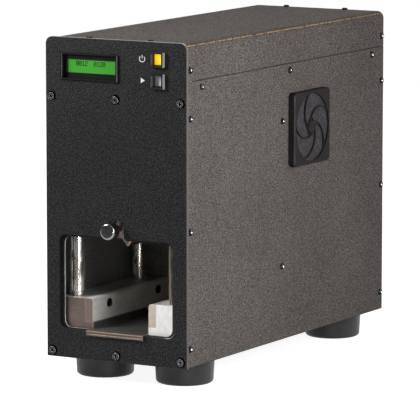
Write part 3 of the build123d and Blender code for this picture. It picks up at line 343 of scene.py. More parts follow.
def surface_material(name, effect, values, bump=0.0, edge=0.0006, painted_edge_shading=None, constants=None, bare_and_sheen=None,
                     bare_and_sheen_colour=None, bare_and_sheen_metallic=0.0):
    """Material of one shared effect, with rounded edges that can take painted shading, and a mask that lays
    uncoated metal on some parts and painted highlights and painted reflections on others.
    """
    material, tree, shader = new_material(name)
    finish = group_node(tree, effect, **values)
    tone, rough = finish["Colour"], finish["Roughness"]
    rounded = group_node(tree, "Rounded Edge", Radius=edge)
    # Painted shading on the rounded edges: highlights on the metals, shade on the covers
    if painted_edge_shading:
        tone = mix_colour(tree, rounded["Edge"], tone, painted_edge_shading)
    # The mask lays uncoated metal on some parts, and painted highlights and painted reflections on others
    if bare_and_sheen:
        mask = bare_and_sheen(tree)
        wear_and_sheen = group_node(tree, "Brushed Metal", Colour=bare_and_sheen_colour, Tarnish=(0.3, 0.27, 0.25), Stretch=evenly,
                          Scale=900.0, Tarnish_Amount=0.4, Roughness=0.35)
        tone = mix_colour(tree, mask, tone, wear_and_sheen["Colour"])
        rough = mix_value(tree, mask, rough, wear_and_sheen["Roughness"])
        feed(tree, shader, {"Metallic": arithmetic(tree, "MULTIPLY", mask, bare_and_sheen_metallic)})
    normal = relief(tree, finish["Height"], bump, Normal=rounded["Normal"]) if bump else rounded["Normal"]
    feed(tree, shader, {"Base Color": tone, "Roughness": rough, "Normal": normal, **(constants or {})})
    return material


def guard_wall_reflection(tree):
    """Mark the guards' walls that face left or right, the outer ones at the right most, for a painted
    reflection.
    """
    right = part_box("power_button_housing")[1].x
    share = ramp(tree, object_axes(tree)["X"], right - 0.0006, right - 0.0004, 0.3, 1.0)
    return arithmetic(tree, "MULTIPLY", group_node(tree, "Wall Masks")["Across"], share)


def display_lip_reflection(tree):
    """Mark the walls of the display's frame that face left or right, within a little of its front, for a painted
    reflection.
    """
    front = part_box("display_frame")[0].y
    near = ramp(tree, object_axes(tree)["Y"], front + 0.0016, front + 0.0012)
    return arithmetic(tree, "MULTIPLY", group_node(tree, "Wall Masks")["Across"], near)


def cut_edges(tree):
    """Mark the walls of a sheet that stand square to the front."""
    return group_node(tree, "Wall Masks")["Sideways"]


def chamfer_highlight(tree):
    """Mark the chamfers that look to the front and to one side, for a painted highlight."""
    way = wall_axes(tree)
    aside = ramp(tree, arithmetic(tree, "ABSOLUTE", way["X"]), 0.4, 0.5)
    return arithmetic(tree, "MULTIPLY", aside, ramp(tree, way["Y"], -0.4, -0.5, 0.0, 0.4))


def outer_rim(tree, node, corner, width):
    """Mark the outer edge of an upright plate with rounded corners."""
    low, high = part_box(node)
    middle, half = (low + high) / 2, (high - low) / 2
    offset = vector_math(tree, "ABSOLUTE", vector_math(tree, "SUBTRACT", object_place(tree), middle))
    inner = Vector((half.x - corner, half.y * 2, half.z - corner))
    past = vector_math(tree, "MAXIMUM", vector_math(tree, "SUBTRACT", offset, inner))
    near = ramp(tree, vector_math(tree, "LENGTH", past, output="Value"), corner - width, corner - width * 0.8)
    return arithmetic(tree, "MULTIPLY", near, cut_edges(tree))


def plate_edge_and_highlight(tree):
    """Mark the plate's outer edge, uncoated metal with a painted highlight that is strongest on top, and a
    painted highlight on the chamfer at the lower right of its mouth.
    """
    rim = outer_rim(tree, "front_panel", 0.008, 0.0008)
    low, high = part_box("opening_frame")
    part, way = object_axes(tree), wall_axes(tree)
    # Painted highlight: the rim is lighter on the walls that face up
    rim = arithmetic(tree, "MULTIPLY", rim, ramp(tree, way["Z"], 0.5, 0.9, 0.3, 1.0))
    # Painted highlight on the chamfer at the lower right of the mouth
    slanted = ramp(tree, arithmetic(tree, "ABSOLUTE", way["Y"]), 0.85, 0.8)
    middle, half = (low.x + high.x) / 2, (high.x - low.x) / 2
    away = arithmetic(tree, "SUBTRACT", part["X"], middle)
    outward = ramp(tree, away, half - 0.018, half - 0.013)
    inside = ramp(tree, away, half + 0.004, half + 0.003)
    low_down = ramp(tree, part["Z"], low.z + 0.008, low.z + 0.004)
    above = ramp(tree, part["Z"], low.z - 0.012, low.z - 0.01)
    return arithmetic(tree, "MAXIMUM", rim,
                      arithmetic(tree, "MULTIPLY", slanted, outward, low_down, inside, above))


def lid_bend_highlight(tree):
    """Mark spots of painted highlight along the two long bends of the lid."""
    low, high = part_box("top_cover")
    corner, width = 0.008, 0.0009
    part = object_axes(tree)
    middle, half = (low.x + high.x) / 2, (high.x - low.x) / 2
    away = arithmetic(tree, "ABSOLUTE", arithmetic(tree, "SUBTRACT", part["X"], middle))
    across = arithmetic(tree, "SUBTRACT", away, half - corner)
    up = arithmetic(tree, "SUBTRACT", part["Z"], high.z - corner)
    beside = arithmetic(tree, "ABSOLUTE", arithmetic(tree, "SUBTRACT", across, up))
    band = arithmetic(tree, "MULTIPLY", ramp(tree, beside, width, width * 0.7), ramp(tree, up, 0.004, 0.005))
    # Painted highlight: warm glints broken into spots along the bends
    painted_glints = ramp(tree, grain(tree, object_place(tree), 300.0, detail=4.0, roughness=0.7), 0.45, 0.53)
    return arithmetic(tree, "MULTIPLY", band, painted_glints)


def powder(tone, speck, pit, scale, specks, roughness):
    """Values of a powder coat."""
    return dict(Colour=tone, Speck_Colour=speck, Pit_Colour=pit, Scale=scale, Specks=specks,
                Roughness=roughness)


def front_coat(finish):
    """Fine black powder coat. The plate's outer edge shows uncoated metal, lighter on top as a painted
    highlight, and the chamfer at the lower right of the mouth has a painted highlight.
    """
    coat = powder(finish.front_coat, (0.042, 0.042, 0.043), (0.004, 0.004, 0.004), 560.0, 0.8, 0.55)
    return surface_material("front_coat", "Powder Coat", coat, fine_coat,
                            constants={"Specular IOR Level": 0.12}, bare_and_sheen=plate_edge_and_highlight,
                            bare_and_sheen_colour=(0.3, 0.29, 0.285), bare_and_sheen_metallic=0.3)


def frame_coat(finish):
    """Black paint on a sheet whose cut edges show uncoated metal, pale partly as a painted highlight along the
    mouth.
    """
    coat = powder(finish.front_coat, (0.05, 0.05, 0.05), (0.006, 0.006, 0.006), 520.0, 0.5, 0.45)
    return surface_material("frame_coat", "Powder Coat", coat, moulding, 0.0003,
                            constants={"Specular IOR Level": 0.2}, bare_and_sheen=cut_edges,
                            bare_and_sheen_colour=(0.75, 0.76, 0.78), bare_and_sheen_metallic=0.25)


def cover_coat(finish):
    """Speckled taupe powder coat of the covers, with painted warm highlights along the lid's bends and painted
    shade on every edge that deepens the seams.
    """
    coat = powder(finish.cover_coat, finish.cover_speck, (0.035, 0.03, 0.027), 680.0, 0.95, 0.85)
    # The dark edge colour is painted shade along every edge of the covers, which deepens the seams
    return surface_material("cover_coat", "Powder Coat", coat, rough_coat, 0.0013, (0.035, 0.031, 0.029),
                            {"Specular IOR Level": 0.05}, lid_bend_highlight, (1.0, 0.6, 0.1), 0.0)


def liner_coat(name, tone):
    """Flat dark paint inside the case."""
    pale, deep = [level * 1.7 for level in tone], [level * 0.5 for level in tone]
    return surface_material(name, "Powder Coat", powder(tone, pale, deep, 420.0, 0.6, 0.6), fine_coat)


def metal(name, tone, tarnish, stretch, amount, roughness, scale=2500.0, bump=brushing, edge=0.0006,
          edge_highlight=None, metallic=1.0, rim_tint=(1, 1, 1)):
    """Brushed or ground metal, with a painted highlight on its edges where an edge colour is given."""
    values = dict(Colour=tone, Tarnish=tarnish, Stretch=stretch, Scale=scale, Tarnish_Amount=amount,
                  Roughness=roughness)
    return surface_material(name, "Brushed Metal", values, bump, edge, edge_highlight,
                            {"Metallic": metallic, "Specular Tint": rim_tint})


def front_reflection_metal(name, depth, stain, clean, shine=2.4):
    """Satin metal with a painted reflection, a dark warm tone, before a depth, and pale edges that are a painted
    highlight.
    """
    values = dict(Colour=clean, Tarnish=[level * 0.7 for level in clean], Stain=stain,
                  Stain_Tarnish=[level * 0.6 for level in stain], Stained_Depth=depth)
    # Pale edges: a painted highlight
    pale = [min(level * shine, 0.9) for level in stain]
    return surface_material(name, "Front Reflection Metal", values, edge=0.0005, painted_edge_shading=pale,
                            constants={"Metallic": 0.3})


def front_screw_steel():
    """Black oxide, grey on the face of the heads, with a painted highlight round their edges and painted shade,
    near black, in their sockets.
    """
    material, tree, shader = new_material("front_screw_steel")
    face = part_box("front_panel_screws")[0].y
    finish = group_node(tree, "Brushed Metal", Colour=(0.04, 0.04, 0.04), Tarnish=(0.02, 0.02, 0.02),
                        Stretch=evenly, Scale=200.0, Tarnish_Amount=0.5, Roughness=0.35)
    rounded = group_node(tree, "Rounded Edge", Radius=0.0005)
    # Painted highlight round the rounded edges of the heads
    wear_and_sheen = mix_colour(tree, rounded["Edge"], finish["Colour"], (0.8, 0.79, 0.78))
    # Painted shade: the sockets go near black
    socket_shade = ramp(tree, object_axes(tree)["Y"], face + 0.0003, face + 0.0007)
    feed(tree, shader, {
        "Base Color": mix_colour(tree, socket_shade, wear_and_sheen, (0.002, 0.002, 0.002)),
        "Roughness": finish["Roughness"],
        "Normal": rounded["Normal"],
        "Metallic": 0.5,
        "Specular IOR Level": 0.2,
    })
    return material


def column_steel(finish):
    """Polished columns with dried oil in patches, and painted shade that makes the pair at the right darker."""
    material, tree, shader = new_material("column_chrome")
    blotch = grain(tree, object_place(tree, (1, 1, 0.35)), 170.0, detail=5.0, roughness=0.75)
    polished = group_node(tree, "Brushed Metal", Colour=(0.9, 0.88, 0.85), Tarnish=(0.55, 0.51, 0.45),
                          Stretch=along_height, Scale=900.0, Tarnish_Amount=0.5, Roughness=0.12)
    oiled = mix_colour(tree, ramp(tree, blotch, 0.47, 0.56), polished["Colour"], finish.column_oil)
    # Painted shade: the pair of columns at the right is darkened
    right = ramp(tree, object_axes(tree)["X"], 0.0, 0.01)
    rounded = group_node(tree, "Rounded Edge", Radius=0.0006)
    feed(tree, shader, {
        "Base Color": mix_colour(tree, right, oiled, (0.16, 0.13, 0.1)),
        "Roughness": arithmetic(tree, "ADD", polished["Roughness"], ramp(tree, blotch, 0.45, 0.6, 0.0, 0.2)),
        "Normal": relief(tree, blotch, 0.00006, Normal=rounded["Normal"]),
        "Metallic": 0.85,
    })
    return material


def moulded(name, tone, bloom, scale, roughness, gloss=0.5, bare_and_sheen=None, bare_and_sheen_colour=(0.24, 0.235, 0.23)):
    """Moulded plastic or rubber."""
    values = dict(Colour=tone, Bloom=bloom, Scale=scale, Roughness=roughness)
    return surface_material(name, "Moulded Surface", values, moulding, 0.0005,
                            constants={"Specular IOR Level": gloss}, bare_and_sheen=bare_and_sheen, bare_and_sheen_colour=bare_and_sheen_colour,
                            bare_and_sheen_metallic=0.3)


def clear_sheet():
    """Clear polycarbonate with faint wiping marks."""
    material, tree, shader = new_material("clear_sheet")
    wipe = grain(tree, object_place(tree, (1, 1, 6)), 60.0, detail=3.0)
    feed(tree, shader, {
        "Base Color": (0.93, 0.95, 0.96),
        "Roughness": ramp(tree, wipe, 0.3, 0.7, 0.03, 0.12),
        "Transmission Weight": 1.0,
        "IOR": 1.58,
    })
    return material


def glow_material(name, centre, radius, inner, outer, strength, ends=None):
    """Lit plastic. A window with ends gets a painted shadow at its left end and a painted highlight as a pale
    rim at the right one.
    """
    material, tree, shader = new_material(name)
    tone = group_node(tree, "Lamp Glow", Centre=centre, Radius=radius, Inner=inner, Outer=outer)["Colour"]
    if ends:
        across, (left, right) = object_axes(tree)["X"], ends
        # Painted shadow at the left end of the window
        tone = mix_colour(tree, ramp(tree, across, left + 0.0035, left + 0.0015), tone, (0.008, 0.02, 0.004))
        # Painted highlight: a pale rim at the right end
        tone = mix_colour(tree, ramp(tree, across, right - 0.0012, right - 0.001), tone, (0.6, 0.45, 0.55))
    seen = add_node(tree, "ShaderNodeLightPath").outputs["Is Camera Ray"]
    feed(tree, shader, {
        "Base Color": mix_colour(tree, 0.6, tone, (0.01, 0.01, 0.01)),
        "Roughness": 0.25,
        "Emission Color": tone,
        "Emission Strength": ramp(tree, seen, 0.0, 1.0, strength * 0.3, strength),
    })
    return material


def foam_material(finish):
    """Open-cell foam: pale struts round dark cells."""
    material, tree, shader = new_material("open_cell_foam")
    place = object_place(tree)
    cells = add_node(tree, "ShaderNodeTexVoronoi", {"Vector": place, "Scale": 520.0},
                     feature="DISTANCE_TO_EDGE")
    strut = ramp(tree, cells.outputs["Distance"], 0.25, 0.02)
    mottled = arithmetic(tree, "MULTIPLY", strut, ramp(tree, grain(tree, place, 300.0), 0.3, 0.7, 0.4, 1.0))
    feed(tree, shader, {
        "Base Color": mix_colour(tree, mottled, finish.foam_shade, finish.foam_strut),
        "Roughness": 0.9,
        "Specular IOR Level": 0.05,
        "Normal": relief(tree, mottled, 0.0006),
    })
    return material


def dress(material, *nodes):
    """Give CAD nodes a material."""
    for name in nodes:
        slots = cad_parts[name].data.materials
        slots.clear()
        slots.append(material)


def mesh_piece(name, shape, material, body, smooth=False):
    """Turn a bmesh into a piece that rides on a body."""
    mesh = bpy.data.meshes.new(name)
    bmesh.ops.recalc_face_normals(shape, faces=shape.faces)
    shape.to_mesh(mesh)
    shape.free()
    for face in mesh.polygons:
        face.use_smooth = smooth
    mesh.materials.append(material)
    piece = bpy.data.objects.new(name, mesh)
    bpy.context.scene.collection.objects.link(piece)
    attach(piece, body)
    return piece


def middle_of(node):
    """Middle of a CAD node's box."""
    low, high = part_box(node)
    return (low + high) / 2


def block(shape, low, high, edge):
    """Add a box with rounded edges to a bmesh."""
    size = Vector(high) - Vector(low)
    place = Matrix.Translation((Vector(low) + Vector(high)) / 2) @ Matrix.Diagonal((*size, 1))
    corners = bmesh.ops.create_cube(shape, size=1, matrix=place)["verts"]
    edges = list({edge for corner in corners for edge in corner.link_edges})
    bmesh.ops.bevel(shape, geom=edges, offset=edge, segments=2, profile=0.7, affect="EDGES")


def bridge(shape, before, after):
    """Join two rings of a bmesh's vertices by faces."""
    for step in range(len(before)):
        beside = (step + 1) % len(before)
        shape.faces.new((before[step], before[beside], after[beside], after[step]))


def loose_parts(mesh):
    """Low and high corner of each loose part of a mesh."""
    source = bmesh.new()
    source.from_mesh(mesh)
    bmesh.ops.remove_doubles(source, verts=source.verts, dist=0.000001)
    seen, boxes = set(), []
    for first in source.verts:
        if first in seen:
            continue
        seen.add(first)
        reached = [first]
        for vertex in reached:
            others = [edge.other_vert(vertex) for edge in vertex.link_edges]
            reached += [other for other in others if other not in seen]
            seen.update(others)
        boxes.append([Vector([pick(vertex.co[axis] for vertex in reached) for axis in range(3)])
                      for pick in (min, max)])
    source.free()
    return boxes


class CrusherFinish(bpy.types.PropertyGroup):
    """Colours of the coats, metals and plastics."""

    front_coat: bpy.props.FloatVectorProperty(
        name="Front coat", description="Powder coat of the front plate", subtype="COLOR",
        default=(0.0095, 0.0095, 0.0097))
    cover_coat: bpy.props.FloatVectorProperty(
        name="Cover coat", description="Powder coat of the covers", subtype="COLOR",
        default=(0.11, 0.095, 0.088))
    cover_speck: bpy.props.FloatVectorProperty(
        name="Cover specks", description="Pale specks in the covers' coat", subtype="COLOR",
        default=(0.24, 0.215, 0.2))
    liner_coat: bpy.props.FloatVectorProperty(
        name="Liner coat", description="Paint of the chamber's walls", subtype="COLOR",
        default=(0.2, 0.2, 0.185))
    inner_paint: bpy.props.FloatVectorProperty(
        name="Inner paint", description="Paint inside the case", subtype="COLOR", default=(0.04, 0.04, 0.039))
    aluminium: bpy.props.FloatVectorProperty(
        name="Aluminium", description="Brushed bars", subtype="COLOR", default=(0.95, 0.93, 0.91))
    aluminium_tarnish: bpy.props.FloatVectorProperty(
        name="Aluminium tarnish", description="Warm stain on the bars", subtype="COLOR",
        default=(0.42, 0.34, 0.3))
    # Painted reflection on the front of the left bars
    aluminium_front_reflection: bpy.props.FloatVectorProperty(
        name="Aluminium front reflection", description="Brushed bars of the left side", subtype="COLOR",
        default=(0.14, 0.1, 0.083))
    column_oil: bpy.props.FloatVectorProperty(
        name="Column oil", description="Dried oil on the columns", subtype="COLOR", default=(0.16, 0.135, 0.11))
    foam_shade: bpy.props.FloatVectorProperty(
        name="Foam shade", description="Depth of the foam's cells", subtype="COLOR",
        default=(0.03, 0.027, 0.03))
    foam_strut: bpy.props.FloatVectorProperty(
        name="Foam struts", description="Struts of the foam", subtype="COLOR", default=(0.16, 0.15, 0.16))
    window_green: bpy.props.FloatVectorProperty(
        name="Window green", description="Backlit display window", subtype="COLOR", default=(0.045, 0.34, 0.02))
    lens_amber: bpy.props.FloatVectorProperty(
        name="Amber lens", description="Lit button away from its lamp", subtype="COLOR",
        default=(1.0, 0.36, 0.0))
    lens_yellow: bpy.props.FloatVectorProperty(
        name="Amber lens centre", description="Lit button over its lamp", subtype="COLOR",
        default=(1.0, 0.9, 0.03))
    lens_grey: bpy.props.FloatVectorProperty(
        name="Grey lens", description="Unlit button", subtype="COLOR", default=(0.85, 0.82, 0.8))


class CrusherDetail(bpy.types.PropertyGroup):
    """Sizes of the fine detail."""

    thread_pitch: bpy.props.FloatProperty(
        name="Thread pitch", description="Pitch of the lead screw", subtype="DISTANCE", default=0.005)
    thread_starts: bpy.props.IntProperty(
        name="Thread starts", description="Starts of the lead screw's thread", default=2)
    thread_depth: bpy.props.FloatProperty(
        name="Thread depth", description="Depth of the lead screw's thread", subtype="DISTANCE", default=0.0018)
    foam_relief: bpy.props.FloatProperty(
        name="Foam relief", description="Height of the foam's lumps", subtype="DISTANCE", default=0.0006)
    foam_step: bpy.props.FloatProperty(
        name="Foam step", description="Spacing of the foam's grid", subtype="DISTANCE", default=0.0012)
    socket_radius: bpy.props.FloatProperty(
        name="Socket radius", description="Radius of the cups in the cover screws", subtype="DISTANCE",
        default=0.0011)
    socket_depth: bpy.props.FloatProperty(
        name="Socket depth", description="Depth of the cups in the cover screws", subtype="DISTANCE",
        default=0.001)
    mark_relief: bpy.props.FloatProperty(
        name="Mark relief", description="Thickness of printed marks", subtype="DISTANCE", default=0.00012)
    cell_width: bpy.props.FloatProperty(
        name="Cell width", description="Width of a display cell", subtype="DISTANCE", default=0.0034)
    cell_height: bpy.props.FloatProperty(
        name="Cell height", description="Height of a display cell", subtype="DISTANCE", default=0.0056)


class CrusherStage(bpy.types.PropertyGroup):
    """Camera, lamps and floor."""

    camera_offset: bpy.props.FloatVectorProperty(
        name="Camera offset", description="Camera from the foot of the front panel's middle",
        subtype="TRANSLATION", default=(2.19338, -3.6079, 0.79879))
    camera_azimuth: bpy.props.FloatProperty(
        name="Camera azimuth", description="Turn of the camera to the right", subtype="ANGLE",
        default=radians(29.89))
    camera_elevation: bpy.props.FloatProperty(
        name="Camera elevation", description="Height angle of the camera", subtype="ANGLE",
        default=radians(8.1165))
    focal_share: bpy.props.FloatProperty(
        name="Focal share", description="Focal length as a multiple of the frame's width",
        default=3878.97 / 420)
    key_power: bpy.props.FloatProperty(
        name="Key power", description="Lamp at the front left", subtype="POWER", default=11)
    side_power: bpy.props.FloatProperty(
        name="Side power", description="Lamp at the right", subtype="POWER", default=4.4)
    rim_power: bpy.props.FloatProperty(
        name="Rim power", description="Lamp behind", subtype="POWER", default=8)
    glint_power: bpy.props.FloatProperty(
        name="Glint power", description="Small lamp that only shows on glossy round heads", subtype="POWER",
        default=50)
    strip_power: bpy.props.FloatProperty(
        name="Strip power", description="Lamp that only shows as a streak on polished metal", subtype="POWER",
        default=2)
    ambient: bpy.props.FloatProperty(name="Ambient", description="Level of the surroundings", default=0.2)
    unlit_side: bpy.props.FloatProperty(
        name="Unlit side", description="Level of the studio in front, as reflections show it", default=0.15)
    floor_size: bpy.props.FloatProperty(
        name="Floor size", description="Side of the floor", subtype="DISTANCE", default=3.2)
    floor_front: bpy.props.FloatProperty(
        name="Floor front", description="Floor in front of the machine", subtype="DISTANCE", default=0.35)


class CRUSHER_OT_stage(bpy.types.Operator):
    """Make the floor, the surroundings, the lamps and the camera"""

    bl_idname = "crusher.stage"
    bl_label = "Stage"

    def execute(self, context):
        settings = context.scene.crusher_stage
        self.make_floor(settings)
        self.make_surroundings(context, settings)
        self.make_camera(context, settings)
        self.make_lamps(context, settings)
        context.scene.view_settings.view_transform = "Standard"
        return {"FINISHED"}

    def make_floor(self, settings):
        """A floor that takes the shadow, and glows for the camera and in reflections so that it looks white."""
        shape = bmesh.new()
        half = settings.floor_size / 2
        near = cad_bounds[0].y - settings.floor_front
        places = ((-half, near), (half, near), (half, near + 2 * half), (-half, near + 2 * half))
        corners = [shape.verts.new((across, along, 0)) for across, along in places]
        shape.faces.new(corners)
        mesh = bpy.data.meshes.new("floor")
        shape.to_mesh(mesh)
        shape.free()
        floor = bpy.data.objects.new("floor", mesh)
        bpy.context.scene.collection.objects.link(floor)
        material, tree, shader = new_material("pale_floor")
        path = add_node(tree, "ShaderNodeLightPath").outputs
        seen = arithmetic(tree, "MAXIMUM", path["Is Camera Ray"], path["Is Glossy Ray"],
                          path["Is Transmission Ray"])
        mottle = grain(tree, object_place(tree), 2.0)
        feed(tree, shader, {
            "Base Color": mix_colour(tree, mottle, (0.5, 0.5, 0.5), (0.54, 0.54, 0.54)),
            "Roughness": 0.9,
            "Specular IOR Level": 0.1,
            "Emission Color": (1, 1, 1),
            "Emission Strength": arithmetic(tree, "MULTIPLY", seen, 0.9),
        })
        mesh.materials.append(material)

    def make_surroundings(self, context, settings):
        """Soft ambient light. The camera sees white, and reflections show it with a darker room in front."""
        world = bpy.data.worlds.new("studio")
        world.use_nodes = True
        tree = world.node_tree
        tree.nodes.clear()
        path = add_node(tree, "ShaderNodeLightPath").outputs
        way = add_node(tree, "ShaderNodeTexCoord").outputs["Generated"]
        behind = Vector((0.4, 0.9, 0.1)).normalized()
        facing = vector_math(tree, "DOT_PRODUCT", way, behind, "Value")
        mirrored = ramp(tree, facing, -0.5, 0.3, settings.unlit_side, 1.0)
        level = mix_value(tree, path["Is Glossy Ray"], settings.ambient, mirrored)
        seen = arithmetic(tree, "MAXIMUM", path["Is Camera Ray"], path["Is Transmission Ray"])
        level = mix_value(tree, seen, level, 1.0)
        back = add_node(tree, "ShaderNodeBackground", {"Color": (1, 1, 1), "Strength": level})
        add_node(tree, "ShaderNodeOutputWorld", {"Surface": back.outputs[0]})
        context.scene.world = world

    def make_camera(self, context, settings):
        """The camera of the photograph."""
        low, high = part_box("front_panel")
        foot = Vector(((low.x + high.x) / 2, low.y, 0))
        lens = bpy.data.cameras.new("camera")
        lens.sensor_fit = "HORIZONTAL"
        lens.lens = settings.focal_share * lens.sensor_width
        lens.clip_end = 100
        camera = bpy.data.objects.new("camera", lens)
        camera.location = foot + Vector(settings.camera_offset)
        camera.rotation_euler = (pi / 2 - settings.camera_elevation, 0, settings.camera_azimuth)
        context.scene.collection.objects.link(camera)
        context.scene.camera = camera

    def make_lamps(self, context, settings):
        """Three soft lamps, and two that only show in reflections."""
        low, high = cad_bounds
        target = (low + high) / 2
        for name, place, size, power, lights_walls in (
            ("key_lamp", (-0.6, -0.8, 0.7), 0.4, settings.key_power, True),
            ("side_lamp", (0.75, -0.38, 0.4), 0.4, settings.side_power, True),
            ("rim_lamp", (-0.6, 2.1, 1.2), 1.2, settings.rim_power, True),
            ("glint_lamp", (1.34, 0.63, 0.65), 0.15, settings.glint_power, False),
            ("strip_lamp", (0.5, -0.75, 0.1), 0.12, settings.strip_power, False),
        ):
            lamp = bpy.data.lights.new(name, "AREA")
            lamp.shape = "SQUARE"
            lamp.size = size
            lamp.energy = power
            holder = bpy.data.objects.new(name, lamp)
            holder.location = place
            holder.visible_camera = False
            holder.visible_diffuse = lights_walls
            holder.rotation_euler = (target - Vector(place)).to_track_quat("-Z", "Y").to_euler()
            context.scene.collection.objects.link(holder)


class CRUSHER_OT_case(bpy.types.Operator):
    """Coat the front plate, the covers and the inner walls"""

    bl_idname = "crusher.case"
    bl_label = "Case"

    def execute(self, context):
        finish = context.scene.crusher_finish
        dress(front_coat(finish), "front_panel")
        dress(frame_coat(finish), "opening_frame")
        dress(cover_coat(finish), "top_cover", "left_side_panel", "right_side_panel", "rear_panel")
        dress(liner_coat("liner_coat", finish.liner_coat), "chamber_liner")
        inner = liner_coat("inner_paint", finish.inner_paint)
        dress(inner, "bulkhead", "base_pan", "gear_motor", "power_supply")
        rubber = moulded("foot_rubber", (0.008, 0.008, 0.008), (0.018, 0.018, 0.018), 900.0, 0.4, gloss=0.32)
        dress(rubber, "feet")
        oxide = metal("black_oxide", (0.05, 0.05, 0.05), (0.03, 0.03, 0.03), evenly, amount=0.5, roughness=0.3,
                      scale=200.0, bump=0.0)
        dress(oxide, "anvil_screws", "wedge_screws", "foot_screws")
        dress(front_screw_steel(), "front_panel_screws")
        lacquer = metal("black_lacquer", (0.03, 0.03, 0.03), (0.02, 0.02, 0.02), evenly, amount=0.3,
                        roughness=0.22, scale=200.0, bump=0.0, edge=0.0018, rim_tint=(0, 0, 0))
        dress(lacquer, "button_head_screws")
        self.make_socket_cups(context.scene.crusher_detail)
        return {"FINISHED"}

    def make_socket_cups(self, detail):
        """Pale cups in the sockets of the cover screws, which stand on the lid and on both sides; their pale
        metal is a painted glint.
        """
        shape, sides = bmesh.new(), 16
        outer, inner = detail.socket_radius, detail.socket_radius * 0.86
        top, floor = detail.socket_depth * 0.1, detail.socket_depth
        profile = ((outer, floor), (outer, top), (inner, top), (inner, floor * 0.9))
        for low, high in loose_parts(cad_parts["button_head_screws"].data):
            size, middle = high - low, (low + high) / 2
            axis = min(range(3), key=lambda number: size[number])
            outward = Vector([0, 0, 0])
            outward[axis] = 1 if axis == 2 or middle.x > 0 else -1
            turn = outward.to_track_quat("Z", "X")
            face = middle + outward * size[axis] / 2
            rings = []
            for radius, depth in profile:
                spokes = [(cos(2 * pi * step / sides), sin(2 * pi * step / sides)) for step in range(sides)]
                rings.append([shape.verts.new(face + turn @ Vector((radius * x, radius * y, -depth)))
                              for x, y in spokes])
            for before, after in zip(rings, rings[1:]):
                bridge(shape, before, after)
            shape.faces.new(rings[0])
            shape.faces.new(rings[-1])
        # The cups' pale metal is a painted glint in the sockets
        glint_metal = metal("socket_glint_cup", (0.95, 0.94, 0.92), (0.8, 0.78, 0.75), evenly, amount=0.4, roughness=0.3,
                     scale=200.0, bump=0.0, metallic=0.3)
        mesh_piece("socket_cups", shape, glint_metal, "frame", smooth=True)


class CRUSHER_OT_press(bpy.types.Operator):
    """Finish the bars, columns, wedge, plates, gears and tray"""

    bl_idname = "crusher.press"
    bl_label = "Press"

    def execute(self, context):
        finish = context.scene.crusher_finish
        # The pale edge colour is a painted highlight along the edges of the bars, strips and wedge
        painted_edge_highlight, tray_lip = (0.85, 0.84, 0.82), 0.004
        bar = metal("bar_aluminium", finish.aluminium, finish.aluminium_tarnish, (1, 1, 0.05), amount=0.2,
                    roughness=0.4, edge_highlight=painted_edge_highlight, metallic=0.3)
        dress(bar, "right_support_bar", "right_front_post", "middle_cross_rail", "top_cross_rail")
        # The left bar's front gets a painted reflection, a dark warm tone, and painted highlights on its edges
        painted_reflection = front_reflection_metal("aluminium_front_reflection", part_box("left_support_bar")[0].y, finish.aluminium_front_reflection,
                                (0.5, 0.49, 0.47), shine=3.5)
        dress(painted_reflection, "left_support_bar", "left_front_post")
        strip = metal("ground_strip", (0.66, 0.6, 0.53), (0.4, 0.31, 0.24), along_depth, amount=0.6,
                      roughness=0.42, edge_highlight=painted_edge_highlight, metallic=0.3)
        dress(strip, "right_anvil_strip")
        # The left strip's front gets a painted reflection and painted highlights on its edges
        painted_reflection = front_reflection_metal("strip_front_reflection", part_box("left_anvil_strip")[0].y, (0.18, 0.133, 0.11),
                                (0.95, 0.92, 0.87))
        dress(painted_reflection, "left_anvil_strip")
        tool = metal("tool_steel", (0.3, 0.2, 0.155), (0.2, 0.13, 0.1), along_depth, amount=0.5, roughness=0.35,
                     edge_highlight=painted_edge_highlight)
        dress(tool, "ram_wedge")
        plate = metal("ground_steel", (0.42, 0.41, 0.4), (0.28, 0.26, 0.24), along_depth, amount=0.4,
                      roughness=0.35)
        dress(plate, "press_base", "crown_plate", "ram_platen", "column_nuts", "idler_shaft", "lock_ring",
              "thrust_bearing", "drive_gear", "idler_gear", "motor_pinion")
        dress(column_steel(finish), "guide_columns")
        bronze = metal("bronze", (0.6, 0.42, 0.2), (0.35, 0.22, 0.1), evenly, amount=0.4, roughness=0.3)
        dress(bronze, "lead_nut", "platen_bushes")
        # The tray's lip gets a painted reflection, a warm tone, and painted highlights on its edges
        tray = front_reflection_metal("tray_steel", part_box("scrap_tray")[0].y + tray_lip, (0.13, 0.091, 0.07),
                             (0.085, 0.088, 0.086), shine=4.5)
        dress(tray, "scrap_tray")
        return {"FINISHED"}


